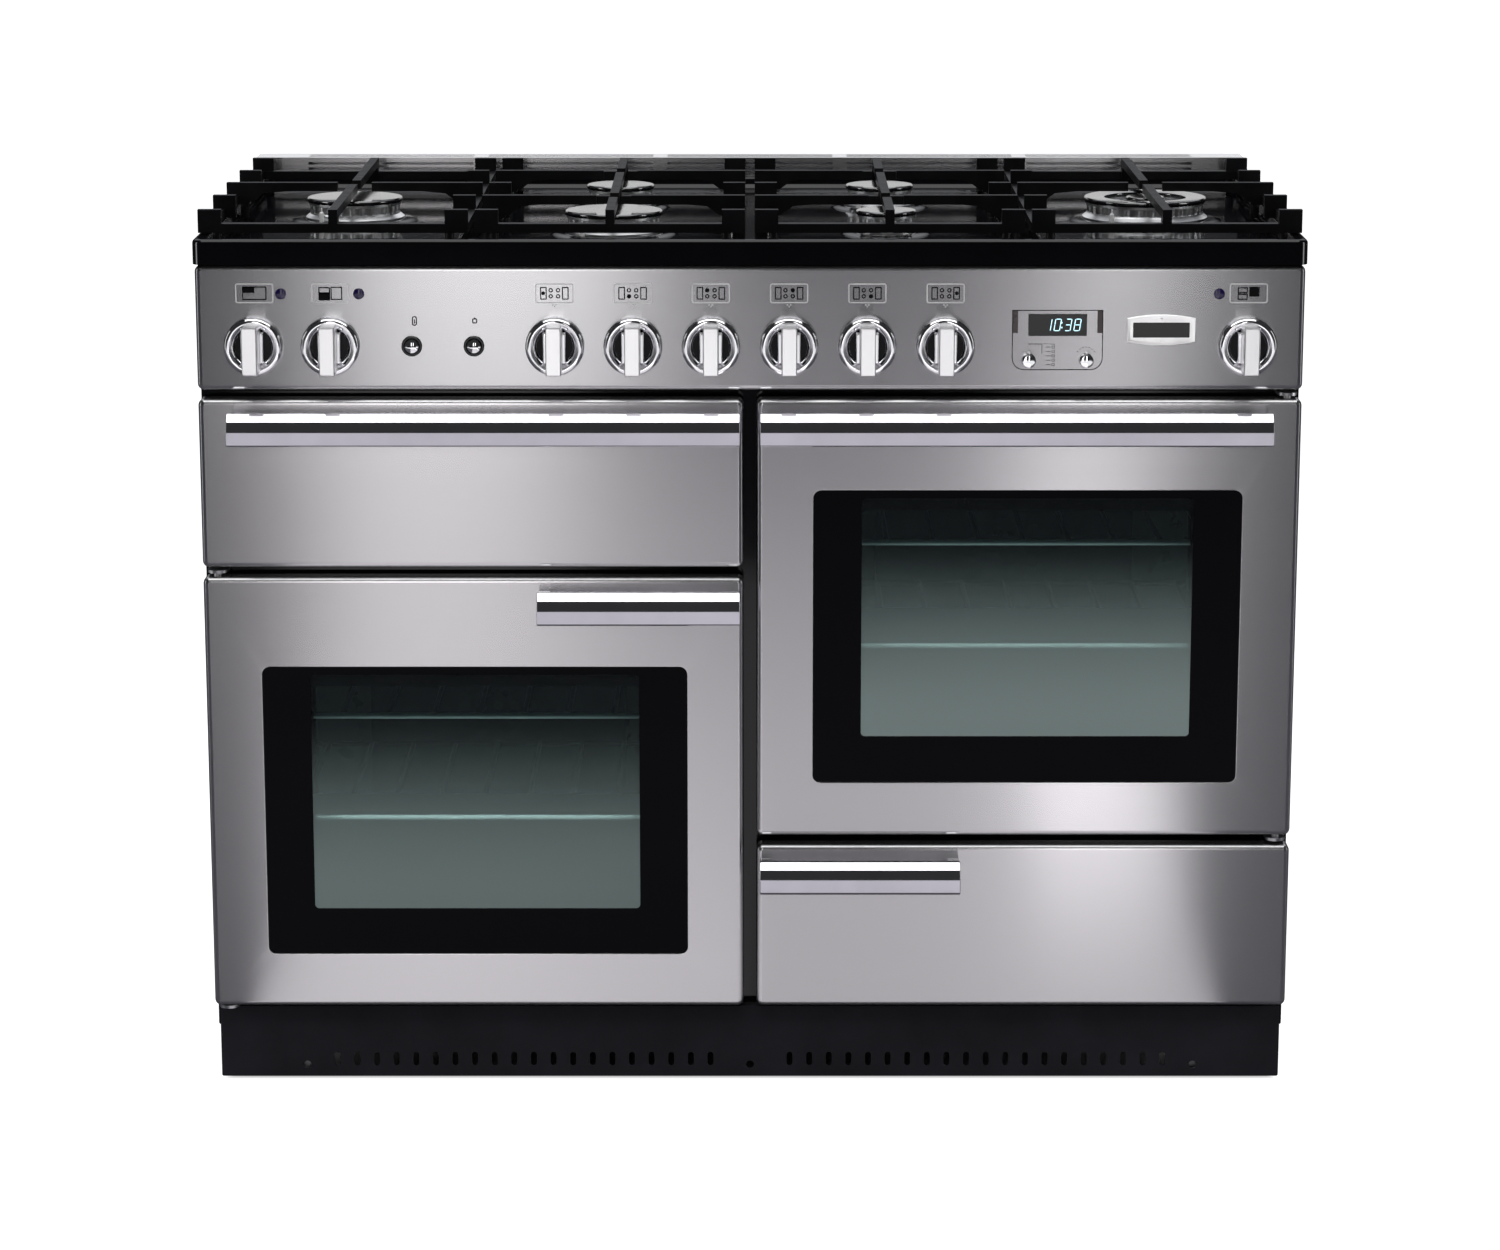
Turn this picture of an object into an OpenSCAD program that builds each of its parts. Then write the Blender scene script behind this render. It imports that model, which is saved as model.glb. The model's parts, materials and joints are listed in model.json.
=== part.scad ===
// Range cooker: two side-hung ovens, a glide-out grill, a storage drawer and a six-burner gas hob.
// Front faces -Y, +X is to the right seen from the front, +Z is up, and the floor is Z = 0.

/* [Body] */
// Width across the hob
body_w = 1100; // [1040:1:1200]
// Depth from the door faces to the back of the flue strip
body_d = 608; // [590:1:680]
// How far the handles stand out in front of the door faces
handle_reach = 42; // [36:1:54]
// How far the hob passes the control panel at each side
hob_overhang = 2; // [1:0.5:6]
// Thickness of the carcass sheet
sheet_t = 2; // [1:0.1:2.4]
// Gap between two fronts, one above the other
front_gap = 10; // [8:0.5:14]
// Gap between the left and right fronts
centre_gap = 13; // [9:0.5:20]
// Air between the inner door faces and the front frame
door_air = 2; // [1.5:0.1:4]

/* [Plinth and feet] */
// Height of the plinth's lower edge over the floor
plinth_lift = 4; // [2:0.5:8]
// Height of the plinth
plinth_h = 75; // [66:0.5:90]
// Gap between the plinth and the fronts above it
plinth_gap = 4; // [4:0.1:8]
// How far the plinth stands behind the door faces
plinth_set_back = 12; // [6:0.5:20]
// Number of vent slots at each side of the plinth
slot_count = 20; // [8:1:22]
// Distance from one vent slot to the next
slot_pitch = 20.2; // [16:0.1:22]
// Width of a vent slot
slot_w = 6; // [4:0.1:8]
// Height of a vent slot
slot_h = 14.5; // [10:0.1:20]
// Height of the vent slots' middle over the floor
slot_z = 22.5; // [20:0.1:30]
// Diameter of the holes that the levelling tool goes in through
tool_hole_d = 8; // [7:0.1:9]
// Sideways place of the levelling holes
tool_hole_x = 455.6; // [440:0.1:470]
// Height of the levelling holes over the floor
tool_hole_z = 16.5; // [15:0.1:20]
// Diameter of the rear rollers
roller_d = 44; // [36:1:50]
// Width of the rear rollers
roller_w = 20; // [14:1:26]
// Diameter of the roller pins
roller_pin_d = 8; // [6:0.5:10]
// Diameter of the front feet
foot_d = 36; // [28:1:44]
// Thickness of the front feet
foot_t = 8; // [5:0.5:12]

/* [Doors and fronts] */
// Height of the oven doors
door_h = 448; // [440:1:470]
// Height of the grill front and of the drawer front
small_front_h = 170.5; // [160:0.5:190]
// Thickness of a door with its inner frame
door_t = 28; // [27:0.5:34]
// Depth of the outer steel skin of a door or front
skin_d = 20; // [17:0.5:22]
// Corner radius of the fronts
corner_r = 6.5; // [3:0.5:10]
// Width of the black glass in a door
glass_w = 427; // [400:1:430]
// Height of the black glass in a door
glass_h = 300; // [270:1:310]
// Height of the glass over the door's lower edge
glass_z = 56; // [54:1:70]
// Thickness of the outer glass
glass_t = 4; // [3:0.5:5]
// Corner radius of the glass
glass_r = 8; // [4:0.5:12]
// Thickness of the inner glass
inner_glass_t = 3; // [2:0.5:4]
// Width of the black rim over the viewing window
window_rim_x = 48; // [40:1:56]
// Distance of the hinge pins from the door's edge
pivot_in = 14; // [12:0.5:18]
// Distance of the hinge pins behind the door face
pivot_back = 12; // [10:0.5:13]
// Diameter of the hinge pins
hinge_pin_d = 8; // [6:0.5:9]
// How far a hinge pin goes into the door
hinge_pin_in = 10; // [7:0.5:13]

/* [Handles] */
// Height of a handle bar
handle_h = 32; // [26:0.5:38]
// Depth of a handle bar
handle_bar_d = 16; // [12:0.5:20]
// Radius of the bar's upper front edge
handle_top_r = 12; // [6:0.5:14]
// Radius of the bar's lower front edge
handle_low_r = 3; // [1:0.5:6]
// Width of a handle's end posts
handle_post_w = 12; // [8:0.5:18]
// Length of the grill and right door handles
long_handle_w = 506; // [440:1:510]
// Length of the left door and drawer handles
short_handle_w = 202; // [160:1:260]
// Distance of a handle's middle below the top of its front
handle_drop = 25; // [22:0.5:36]

/* [Control panel] */
// Height of the control panel
panel_h = 124.5; // [118:0.5:140]
// Gap between the control panel and the fronts below it
panel_gap = 9; // [7:0.5:12]
// Height of the knob centres over the panel's lower edge
knob_z = 44.5; // [38:0.5:60]
// Outer diameter of a knob's ring
knob_d = 58; // [50:1:64]
// Width of a knob's chrome ring
knob_ring_w = 8; // [6:0.5:10]
// Length of a knob's lever
knob_lever_l = 48; // [40:1:52]
// Width of a knob's lever
knob_lever_w = 15; // [12:0.5:18]
// How far the knobs stand out from the panel
knob_reach = 42; // [34:0.5:54]
// Diameter of the spindles under the knobs
spindle_d = 8; // [6:0.5:9]
// Diameter of the push buttons
button_d = 14; // [11:0.5:16]
// Outer diameter of the black rings round the push buttons
button_ring_d = 20.5; // [18:0.5:24]
// Travel of the push buttons
button_travel = 3; // [2:0.5:4]
// Diameter of the small clock knobs
clock_knob_d = 14; // [10:0.5:16]
// Diameter of the indicator lamps
lamp_d = 11; // [8:0.5:14]

/* [Ovens] */
// Inside width of the oven cavities
cavity_w = 410; // [380:1:430]
// Height from a cavity's ceiling to the door's upper edge
cavity_top = 49; // [45:1:60]
// Inside depth of the oven cavities
cavity_d = 400; // [340:1:410]
// Thickness of the enamelled oven walls
liner_t = 1.5; // [1:0.1:2]
// Thickness of the insulation round the ovens
insulation_t = 20; // [12:1:22]
// Height of the cavity floor over the door's lower edge
cavity_z = 49; // [46:1:55]
// Inside height of the grill compartment
grill_cavity_h = 132; // [120:1:134]
// Height of the grill floor over the lower edge of its front
grill_cavity_z = 17; // [15:1:24]
// Diameter of the rack wires
rack_wire_d = 5; // [4:0.1:6]
// Distance from one rack wire to the next
rack_pitch = 46.2; // [30:0.1:60]
// Diameter of the fan wheels
fan_d = 150; // [120:1:160]
// Diameter of the fan shafts
fan_shaft_d = 8; // [6:0.5:10]
// Diameter of the heating rods
element_d = 6.5; // [5:0.5:8]

/* [Drawers] */
// Travel of the glide-out grill
grill_travel = 300; // [200:5:330]
// Travel of the storage drawer
drawer_travel = 350; // [200:5:380]
// Depth of the storage drawer's box
drawer_d = 460; // [400:5:480]
// Height of the storage drawer's box
drawer_box_h = 110; // [80:1:120]
// Height of the sliding rails
rail_h = 12; // [8:0.5:16]
// How far the sliding rails stand out sideways
rail_w = 7; // [5:0.5:8]

/* [Hob] */
// Height of the hob's front skirt
hob_h = 25; // [20:0.5:30]
// Depth of the hob's recess under its rim
hob_recess = 12; // [10:0.5:14]
// Width of the hob's rim
hob_rim_w = 13; // [10:0.5:16]
// Radius of the hob's outer corners seen from above
hob_corner_r = 12; // [6:1:16]
// Depth of the flue strip behind the hob
flue_d = 42; // [34:1:50]
// Height of the flue strip over the hob's rim
flue_rise = 20; // [14:1:24]
// Distance of the centre burners in front of and behind the hob's middle
burner_dy = 115; // [100:1:118]
// Cap diameter of the two large burners
cap_large_d = 100; // [84:1:106]
// Cap diameter of the two rear centre burners
cap_medium_d = 73; // [60:1:80]
// Cap diameter of the small burner
cap_small_d = 62; // [50:1:66]
// Outer diameter of the wok burner
wok_ring_d = 128; // [116:1:136]
// Inner diameter of the wok burner's ring cap
wok_inner_d = 84; // [76:1:90]
// Thickness of the burner caps
cap_t = 5; // [3:0.5:7]
// Height of the caps' tops over the hob's rim
cap_rise = 10; // [7:0.5:11]

/* [Pan supports] */
// Gap between the outer pan supports and the hob's ends
support_edge = 2; // [1:0.5:10]
// Depth of a pan support
support_d = 486; // [460:1:500]
// Gap between two pan supports
support_gap = 7; // [5:0.5:9]
// Rise of the pan supports over the hob's rim
support_rise = 24.5; // [23:0.5:36]
// Width of the cast fingers
finger_t = 9; // [7:0.5:11]
// Height of the cast fingers over the burners
finger_h = 9; // [6:0.5:10]
// Length of the short finger blocks
stub_l = 23; // [18:0.5:30]
// Height of the cast base frame
base_rail_h = 9; // [7:0.5:10]
// Width of the cast base frame
base_rail_w = 12; // [9:0.5:14]
// Gap between the hob's rim and the supports' base frame
support_lift = 1.5; // [1:0.1:3]

/* [Hidden] */
$fn = 48;

// Small lengths that many pieces share
slip = 0.3;         // loose fit between two pieces
running = 0.05;     // radial clearance of a pin or shaft in its hole
eps = 1;            // how far a cutting shape passes the face that it cuts

// Levels in depth, front to back
front_y = handle_reach - (handle_reach + body_d) / 2;
back_y = front_y + body_d;
frame_y = front_y + door_t + door_air;
carcass_y = frame_y + sheet_t;
back_recess = 30;
rear_y = back_y - back_recess - sheet_t;
plinth_y = front_y + plinth_set_back;

// Levels in height, bottom to top
plinth_top = plinth_lift + plinth_h;
fronts_z = plinth_top + plinth_gap;
left_door_z = fronts_z;
grill_z = left_door_z + door_h + front_gap;
drawer_z = fronts_z;
right_door_z = drawer_z + small_front_h + front_gap;
panel_z = right_door_z + door_h + panel_gap;
panel_top = panel_z + panel_h;
hob_z = panel_top + 1;
rim_z = hob_z + hob_h;
tray_z = rim_z - hob_recess;
support_top = rim_z + support_rise;

// Widths and sideways places
panel_w = body_w - 2 * hob_overhang;
front_w = (panel_w - centre_gap) / 2;
x_in = centre_gap / 2;
x_out = x_in + front_w;
side_x = panel_w / 2;
column_x = (front_w + centre_gap) / 2;
pivot_x = side_x - pivot_in;
pivot_y = front_y + pivot_back;

// Base frame
base_top = plinth_top;
base_h = 25;
base_rail = 40;
base_x = side_x - sheet_t;
plinth_x = side_x - 4;
plinth_inside = plinth_y + sheet_t;
plinth_back = carcass_y - sheet_t;
lip_x = plinth_x - 3;
lip_d = 12;
slot_first_x = 40.7;
foot_x = side_x - 40;
foot_y = carcass_y + base_rail / 2;
stud_d = 10;
level_rod_d = 8;
rod_plate_y = carcass_y + 2;
rod_plate_w = 28;
rod_plate_t = 4;
roller_pin_z = roller_d / 2;
roller_gap_y = roller_d / 2 + 5;
bracket_y = rear_y - base_rail + 8;
cheek_t = 4;
bracket_w = roller_w + 2 + 2 * cheek_t;

// Louvres of the rear panel, and the two sets in the flue strip
louvre_w = 180;
louvre_h = 6;
louvre_pitch = 18;
louvre_z = panel_z - 107;
flue_louvre_w = 184;
flue_louvre_pitch = 200;
flue_slot_h = 3;
flue_slot_d = 5;
flue_rim = 8;

// Hob, burners and pan supports
hob_front_y = front_y - 4;
flue_y = back_y - flue_d;
hob_mid_y = (hob_front_y + flue_y) / 2;
support_middle = 5;
support_w = (body_w / 2 - support_edge - support_gap - support_middle) / 2;
centre_support_x = support_middle + support_w / 2;
outer_support_x = centre_support_x + support_w + support_gap;
burner_x = [-outer_support_x, -centre_support_x, -centre_support_x,
            centre_support_x, centre_support_x, outer_support_x];
burner_row = [0, -1, 1, 1, -1, 0];
burner_cap_d = [cap_large_d, cap_large_d, cap_medium_d, cap_medium_d, cap_small_d, wok_ring_d];
head_rise = hob_recess + cap_rise - cap_t;
support_z = rim_z + support_lift;
tray_x = body_w / 2 - hob_rim_w;
tray_r = 8;
cup_d = 34;
cup_h = 22;
throat_d = 12;
cap_round = 1.5;
port_count = 18;
wok_hub_d = 40;
spark_turn = 235;
spark_d = 4;
finger_inner = 18;
function burner_y(i) = hob_mid_y + burner_row[i] * burner_dy;

// Control panel layout, measured sideways from the middle of the cooker or from its ends
control_rim = 30;
fold_w = 9;
panel_knob_z = panel_z + knob_z;
outer_knob_in = 57;
knob_pair_pitch = 76;
knob_pitch = 77.2;
knob_x = [outer_knob_in - side_x, outer_knob_in + knob_pair_pitch - side_x, -2.5 * knob_pitch,
          -1.5 * knob_pitch, -0.5 * knob_pitch, 0.5 * knob_pitch, 1.5 * knob_pitch, 2.5 * knob_pitch,
          side_x - outer_knob_in + 1];
gas_first = 2;
gas_last = 7;
knob_gap = 1.5;
button_stem_d = 6;
button_depth = 20;
button_rise = 5.5;
button_dome_r = 14;
clock_stem_d = 4;
button_x = [213.5 - side_x, 275 - side_x];
clock_x = side_x - 244;
clock_w = 90;
clock_top = panel_top - 44;
window_w = 58;
window_h = 22;
window_z = clock_top - 4 - window_h;
clock_knob_dx = 28.5;
clock_knob_z = clock_top - 50;
lamp_x = [85 - side_x, 162 - side_x, side_x - 85];
lamp_z = panel_top - 28;
badge_x = side_x - 141.5;
badge_w = 68;
badge_h = 20;
badge_z = panel_top - 64;

// Ovens, grill and drawer
cavity_h = door_h - cavity_z - cavity_top;
left_cavity_z = left_door_z + cavity_z;
right_cavity_z = right_door_z + cavity_z;
grill_floor_z = grill_z + grill_cavity_z;
oven_back_y = carcass_y + cavity_d;
flange_w = 14;
seal_out = 12;
seal_in = 4;
left_shelf_z = grill_z - front_gap - 2;
right_shelf_z = right_door_z - front_gap / 2;
drawer_floor_z = drawer_z + 14;
drawer_open_w = front_w - 20;
drawer_air = 7;
fan_room = 46;
drawer_half = front_w / 2 - 20;
drawer_rail_z = drawer_floor_z + 50;
grill_rail_z = grill_floor_z + 62;
grill_arm_l = grill_travel + 80;
drawer_rail_l = drawer_travel + 110;
runner_t = 12;
arm_t = 6;
pan_depth = 30;
skin_flange = 34;
liner_inset = 16;
pivot_room = 14;
glass_edge = 5;
pin_block_h = 14;
glass_y = front_y + 0.5;
door_back_y = front_y + door_t;
inner_w = glass_w - 2 * window_rim_x;
inner_h = glass_h - 50;
handle_in = 3.5;

// Gas rail behind the control panel
gas_pipe_d = 15;
gas_rail_z = panel_knob_z;
gas_rail_y = carcass_y + 46;
gas_inlet_x = -side_x + 36;
tap_w = 24;
tap_h = 28;
tap_y = front_y + 34;
spindle_in = 44;
switch_w = 40;
pipe_d = 8;
strap_t = 3;
strap_w = 16;
strap_z = panel_z + 6;
inlet_d = 21;
inlet_l = 16;
fan_y = oven_back_y - 28;
ladder_wire_d = 5;
ladder_in = 6;
ladder_end = 40;
ladder_foot = 12;
ladder_top = 48;
rack_first = 22;
rack_step = (cavity_h - 80) / 5;
rack_play = 3;
rack_front = 25;
rack_rear = 15;
// Sideways place and floor height of each oven, and the height of a rack over that floor
oven_places = [[-column_x, left_cavity_z], [column_x, right_cavity_z]];
function rack_level(k) = rack_first + rack_step * k;
ring_r = fan_d / 2 + 20;
run_pitch = 90;
grill_run_in = 70;
oven_lamp_d = 36;
cover_y = oven_back_y - fan_room;
intake_pitch = 18;
intake_d = 11;
outlet_pitch = 80;
outlet_h = 56;
cover_w = cavity_w - 130;
cover_h = cavity_h - 60;
motor_y = oven_back_y + liner_t + insulation_t;
motor_d = 58;
motor_l = 42;
motor_foot_w = 90;
motor_foot_h = 28;
motor_foot_t = 3;
shaft_in = 25;
terminal_x = 300;
terminal_z = base_top + 24;
terminal_w = 110;
terminal_h = 90;
terminal_back = back_y - 2;
cover_t = 3;
cable_hole_d = 18;

// Shapes that many pieces use

// The range from a to b on the right of the middle, or its mirror image on the left
function both(s, a, b) = s > 0 ? [a, b] : [-b, -a];

// The range of width w round a middle
function around(middle, w) = [middle - w / 2, middle + w / 2];

module slab(x, y, z) {
    translate([x[0], y[0], z[0]])
        cube([x[1] - x[0], y[1] - y[0], z[1] - z[0]]);
}

module round_rect(w, h, r) {
    square([w - 2 * r, h], center = true);
    square([w, h - 2 * r], center = true);
    for (sx = [-1, 1], sy = [-1, 1])
        translate([sx * (w / 2 - r), sy * (h / 2 - r)])
            circle(r);
}

// A block with corners that are round in the front view
module front_slab(x, y, z, r) {
    translate([(x[0] + x[1]) / 2, y[1], (z[0] + z[1]) / 2])
        rotate([90, 0, 0])
            linear_extrude(y[1] - y[0])
                round_rect(x[1] - x[0], z[1] - z[0], r);
}

// A block with corners that are round in the top view
module top_slab(x, y, z, r) {
    translate([(x[0] + x[1]) / 2, (y[0] + y[1]) / 2, z[0]])
        linear_extrude(z[1] - z[0])
            round_rect(x[1] - x[0], y[1] - y[0], r);
}

module rod_x(x, y, z, d) {
    translate([x[0], y, z])
        rotate([0, 90, 0])
            cylinder(d = d, h = x[1] - x[0]);
}

module rod_y(x, y, z, d) {
    translate([x, y[1], z])
        rotate([90, 0, 0])
            cylinder(d = d, h = y[1] - y[0]);
}

module rod_z(x, y, z, d) {
    translate([x, y, z[0]])
        cylinder(d = d, h = z[1] - z[0]);
}

// Turns a shape drawn with +Z outwards so that it stands on the control panel
module on_panel(x, z) {
    translate([x, front_y, z])
        rotate([90, 0, 0])
            children();
}

// Carcass

module side_panels() {
    color("#1b1b1d")
        for (s = [-1, 1]) {
            slab(both(s, side_x - sheet_t, side_x), [carcass_y, rear_y], [base_top - base_h, hob_z]);
            // Tongue that reaches up inside the hob's skirt
            slab(both(s, side_x - sheet_t, side_x), [carcass_y, flue_y - hob_corner_r],
                 [panel_z, rim_z - sheet_t]);
        }
}

module rear_panel() {
    color("#8f9296")
        difference() {
            slab([-side_x, side_x], [rear_y, rear_y + sheet_t], [base_top - base_h, rim_z - sheet_t]);
            // Cooling louvres behind the ovens
            for (s = [-1, 1], k = [0:5])
                front_slab(around(s * column_x, louvre_w),
                           [rear_y - eps, rear_y + sheet_t + eps],
                           around(louvre_z + louvre_pitch * k, louvre_h), louvre_h / 2 - 0.1);
            rod_y(gas_inlet_x, [rear_y - eps, rear_y + sheet_t + eps], gas_rail_z, gas_pipe_d + 2);
        }
}

// Rectangular ring of tube under the ovens, with the lugs that hold feet, rollers and levelling rods
module base_frame() {
    color("#6d7074")
        difference() {
            union() {
                difference() {
                    slab([-base_x, base_x], [carcass_y, rear_y], [base_top - base_h, base_top]);
                    for (s = [-1, 1])
                        slab(both(s, base_rail / 2, base_x - base_rail),
                             [carcass_y + base_rail, rear_y - base_rail],
                             [base_top - base_h - eps, base_top + eps]);
                }
                // Hanging plates that guide the levelling rods
                for (s = [-1, 1])
                    slab(around(s * tool_hole_x, rod_plate_w),
                         [rod_plate_y, rod_plate_y + rod_plate_t], [tool_hole_z - 10, base_top - base_h]);
            }
            for (s = [-1, 1]) {
                rod_y(s * tool_hole_x, [rod_plate_y - eps, rod_plate_y + rod_plate_t + eps], tool_hole_z,
                      level_rod_d + 2 * running);
                rod_z(s * foot_x, foot_y, [base_top - base_h - eps, base_top + eps], stud_d + 2 * running);
            }
        }
}

module front_frame() {
    color("#0d0d0f")
        difference() {
            front_slab([-side_x, side_x], [frame_y, carcass_y], [base_top - base_h, panel_top], 2);
            cavity_hole(-column_x, left_cavity_z, cavity_h);
            cavity_hole(column_x, right_cavity_z, cavity_h);
            cavity_hole(-column_x, grill_floor_z, grill_cavity_h);
            // Drawer opening, and the opening for the controls behind the panel
            slab(around(column_x, drawer_open_w), [frame_y - eps, carcass_y + eps],
                 [drawer_floor_z - drawer_air, drawer_floor_z + drawer_box_h + drawer_air]);
            slab([-side_x + control_rim, side_x - control_rim], [frame_y - eps, carcass_y + eps],
                 [panel_z + fold_w - 1, panel_top - fold_w + 1]);
        }
}

module cavity_hole(x, z, h) {
    slab(around(x, cavity_w), [frame_y - eps, carcass_y + eps], [z, z + h]);
}

// Upright divider in the middle, and the two shelves that part an oven from the space above or below it
module partition_panels() {
    color("#9a9da1") {
        slab(around(0, sheet_t), [carcass_y, rear_y], [base_top, panel_z]);
        slab([-base_x, -sheet_t / 2], [carcass_y, rear_y], [left_shelf_z, left_shelf_z + sheet_t]);
        slab([sheet_t / 2, base_x], [carcass_y, rear_y], [right_shelf_z, right_shelf_z + sheet_t]);
    }
}

module plinth() {
    color("#131315")
        difference() {
            union() {
                front_slab([-plinth_x, plinth_x], [plinth_y, plinth_inside], [plinth_lift, plinth_top], 2);
                // Folded lips along the top and bottom, and end folds that reach back to the base frame
                slab([-lip_x, lip_x], [plinth_inside, plinth_y + lip_d],
                     [plinth_lift, plinth_lift + sheet_t]);
                slab([-lip_x, lip_x], [plinth_inside, plinth_back],
                     [plinth_top - sheet_t - 1, plinth_top - 1]);
                for (s = [-1, 1])
                    slab(both(s, lip_x + 1 - sheet_t, lip_x + 1), [plinth_inside, plinth_back],
                         [plinth_lift + sheet_t, plinth_top - sheet_t - 1]);
            }
            for (s = [-1, 1], k = [0:slot_count - 1])
                translate([s * (slot_first_x + k * slot_pitch), 0, 0])
                    front_slab(around(0, slot_w), [plinth_y - eps, plinth_inside + eps],
                               around(slot_z, slot_h), slot_w / 2 - 0.1);
            for (x = [-tool_hole_x, 0, tool_hole_x])
                rod_y(x, [plinth_y - eps, plinth_inside + eps], tool_hole_z, tool_hole_d);
        }
}

// Two screw feet in front; two rods that reach the roller brackets at the rear; the brackets and their pins
module levelling_gear() {
    color("#a7aaae")
        for (s = [-1, 1]) {
            union() {
                rod_z(s * foot_x, foot_y, [0, foot_t], foot_d);
                rod_z(s * foot_x, foot_y, [0, base_top - 3], stud_d);
            }
            rod_y(s * tool_hole_x, [plinth_y + 6, bracket_y - roller_gap_y + cheek_t - slip],
                  tool_hole_z, level_rod_d);
            translate([s * tool_hole_x, 0, 0])
                roller_bracket();
            rod_x(around(s * tool_hole_x, bracket_w + 2), bracket_y, roller_pin_z, roller_pin_d);
        }
}

// Bracket with two cheeks for the roller's pin, and a front wall that the levelling rod enters
module roller_bracket() {
    difference() {
        slab(around(0, bracket_w), [bracket_y - roller_gap_y, bracket_y + roller_gap_y],
             [tool_hole_z - level_rod_d / 2 - 4, base_top - base_h]);
        slab([cheek_t - bracket_w / 2, bracket_w / 2 - cheek_t],
             [bracket_y - roller_gap_y + cheek_t, bracket_y + roller_gap_y + eps],
             [0, base_top - base_h - 3]);
        rod_y(0, [bracket_y - roller_gap_y - eps, bracket_y], tool_hole_z, level_rod_d + 2 * running);
        rod_x([-bracket_w, bracket_w], bracket_y, roller_pin_z, roller_pin_d + 2 * running);
    }
}

module rear_rollers() {
    color("#2a2a2c")
        for (s = [-1, 1])
            difference() {
                rod_x(around(s * tool_hole_x, roller_w), bracket_y, roller_pin_z, roller_d);
                rod_x(around(s * tool_hole_x, 2 * roller_w), bracket_y, roller_pin_z,
                      roller_pin_d + 2 * running);
            }
}

// Hob

module hob_tray() {
    color("#08080a")
        difference() {
            top_slab(around(0, body_w), [hob_front_y, flue_y], [hob_z, rim_z], hob_corner_r);
            top_slab([-tray_x, tray_x], [hob_front_y + hob_rim_w, flue_y - hob_rim_w],
                     [tray_z, rim_z + eps], tray_r);
            // The sheet is hollow underneath, and the side panels reach up inside its skirt
            difference() {
                top_slab([-side_x, side_x], [hob_front_y + sheet_t, flue_y - sheet_t],
                         [hob_z - eps, rim_z - sheet_t], hob_corner_r - sheet_t);
                slab([-tray_x - sheet_t, tray_x + sheet_t],
                     [hob_front_y + hob_rim_w - sheet_t, flue_y - hob_rim_w + sheet_t],
                     [tray_z - sheet_t, rim_z + eps]);
            }
            for (i = [0:5])
                rod_z(burner_x[i], burner_y(i), [tray_z - sheet_t - eps, tray_z + eps], cup_d + 2 * slip);
        }
}

module flue_strip() {
    color("#b9bcc0")
        difference() {
            slab(around(0, body_w), [flue_y, back_y], [hob_z, rim_z + flue_rise]);
            slab([-side_x, side_x], [flue_y + sheet_t, back_y - sheet_t],
                 [hob_z - eps, rim_z + flue_rise - sheet_t]);
            // Long louvres in the front face and in the top
            for (k = [-2:2]) {
                x = k * flue_louvre_pitch;
                for (row = [1, 2])
                    slab(around(x, flue_louvre_w), [flue_y - eps, flue_y + sheet_t + eps],
                         [rim_z + 2 * flue_slot_h * row, rim_z + flue_slot_h * (2 * row + 1)]);
                for (row = [0:2]) {
                    y = flue_y + flue_rim + 9 * row;
                    slab(around(x, flue_louvre_w), [y, y + flue_slot_d],
                         [rim_z + flue_rise - sheet_t - eps, rim_z + flue_rise + eps]);
                }
            }
        }
}

// A burner's crown stands on the tray, and its gas cup hangs below through the hole in the tray
module burner_head(d) {
    crown_d = d - 7;
    difference() {
        union() {
            translate([0, 0, -cup_h])
                cylinder(d = cup_d, h = cup_h + 2);
            cylinder(d = crown_d + 4, h = 4);
            cylinder(d = crown_d, h = head_rise);
        }
        // Mixing chamber under the cap, and the throat that the gas jet blows into
        translate([0, 0, 6])
            cylinder(d = crown_d - 10, h = head_rise);
        translate([0, 0, -cup_h - eps])
            cylinder(d = throat_d, h = cup_h + 8);
        for (k = [0:port_count - 1])
            rotate(k * 360 / port_count)
                translate([crown_d / 2 - 8, -1, head_rise - 6])
                    cube([12, 2, 8]);
    }
}

module burner_heads() {
    color("#b0b2b4")
        for (i = [0:5])
            translate([burner_x[i], burner_y(i), tray_z]) {
                burner_head(burner_cap_d[i]);
                // The inner crown of the wok burner stands inside its ring
                if (i == 5)
                    difference() {
                        translate([0, 0, 6])
                            cylinder(d = wok_hub_d - 6, h = head_rise - 6);
                        translate([0, 0, 6 - eps])
                            cylinder(d = throat_d, h = head_rise);
                    }
                // Spark electrode
                rotate(spark_turn)
                    translate([burner_cap_d[i] / 2 + spark_d, 0, 0])
                        cylinder(d = spark_d, h = head_rise - 2);
            }
}

module burner_cap(d, bore) {
    rotate_extrude() {
        translate([bore / 2, 0])
            square([(d - bore) / 2 - cap_round, cap_t]);
        translate([bore / 2, 0])
            square([(d - bore) / 2, cap_t - cap_round]);
        translate([d / 2 - cap_round, cap_t - cap_round])
            circle(cap_round);
    }
}

module burner_caps() {
    color("#101012")
        for (i = [0:5])
            translate([burner_x[i], burner_y(i), tray_z + head_rise]) {
                burner_cap(burner_cap_d[i], i == 5 ? wok_inner_d : 0);
                if (i == 5)
                    burner_cap(wok_hub_d, 0);
            }
}

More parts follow.
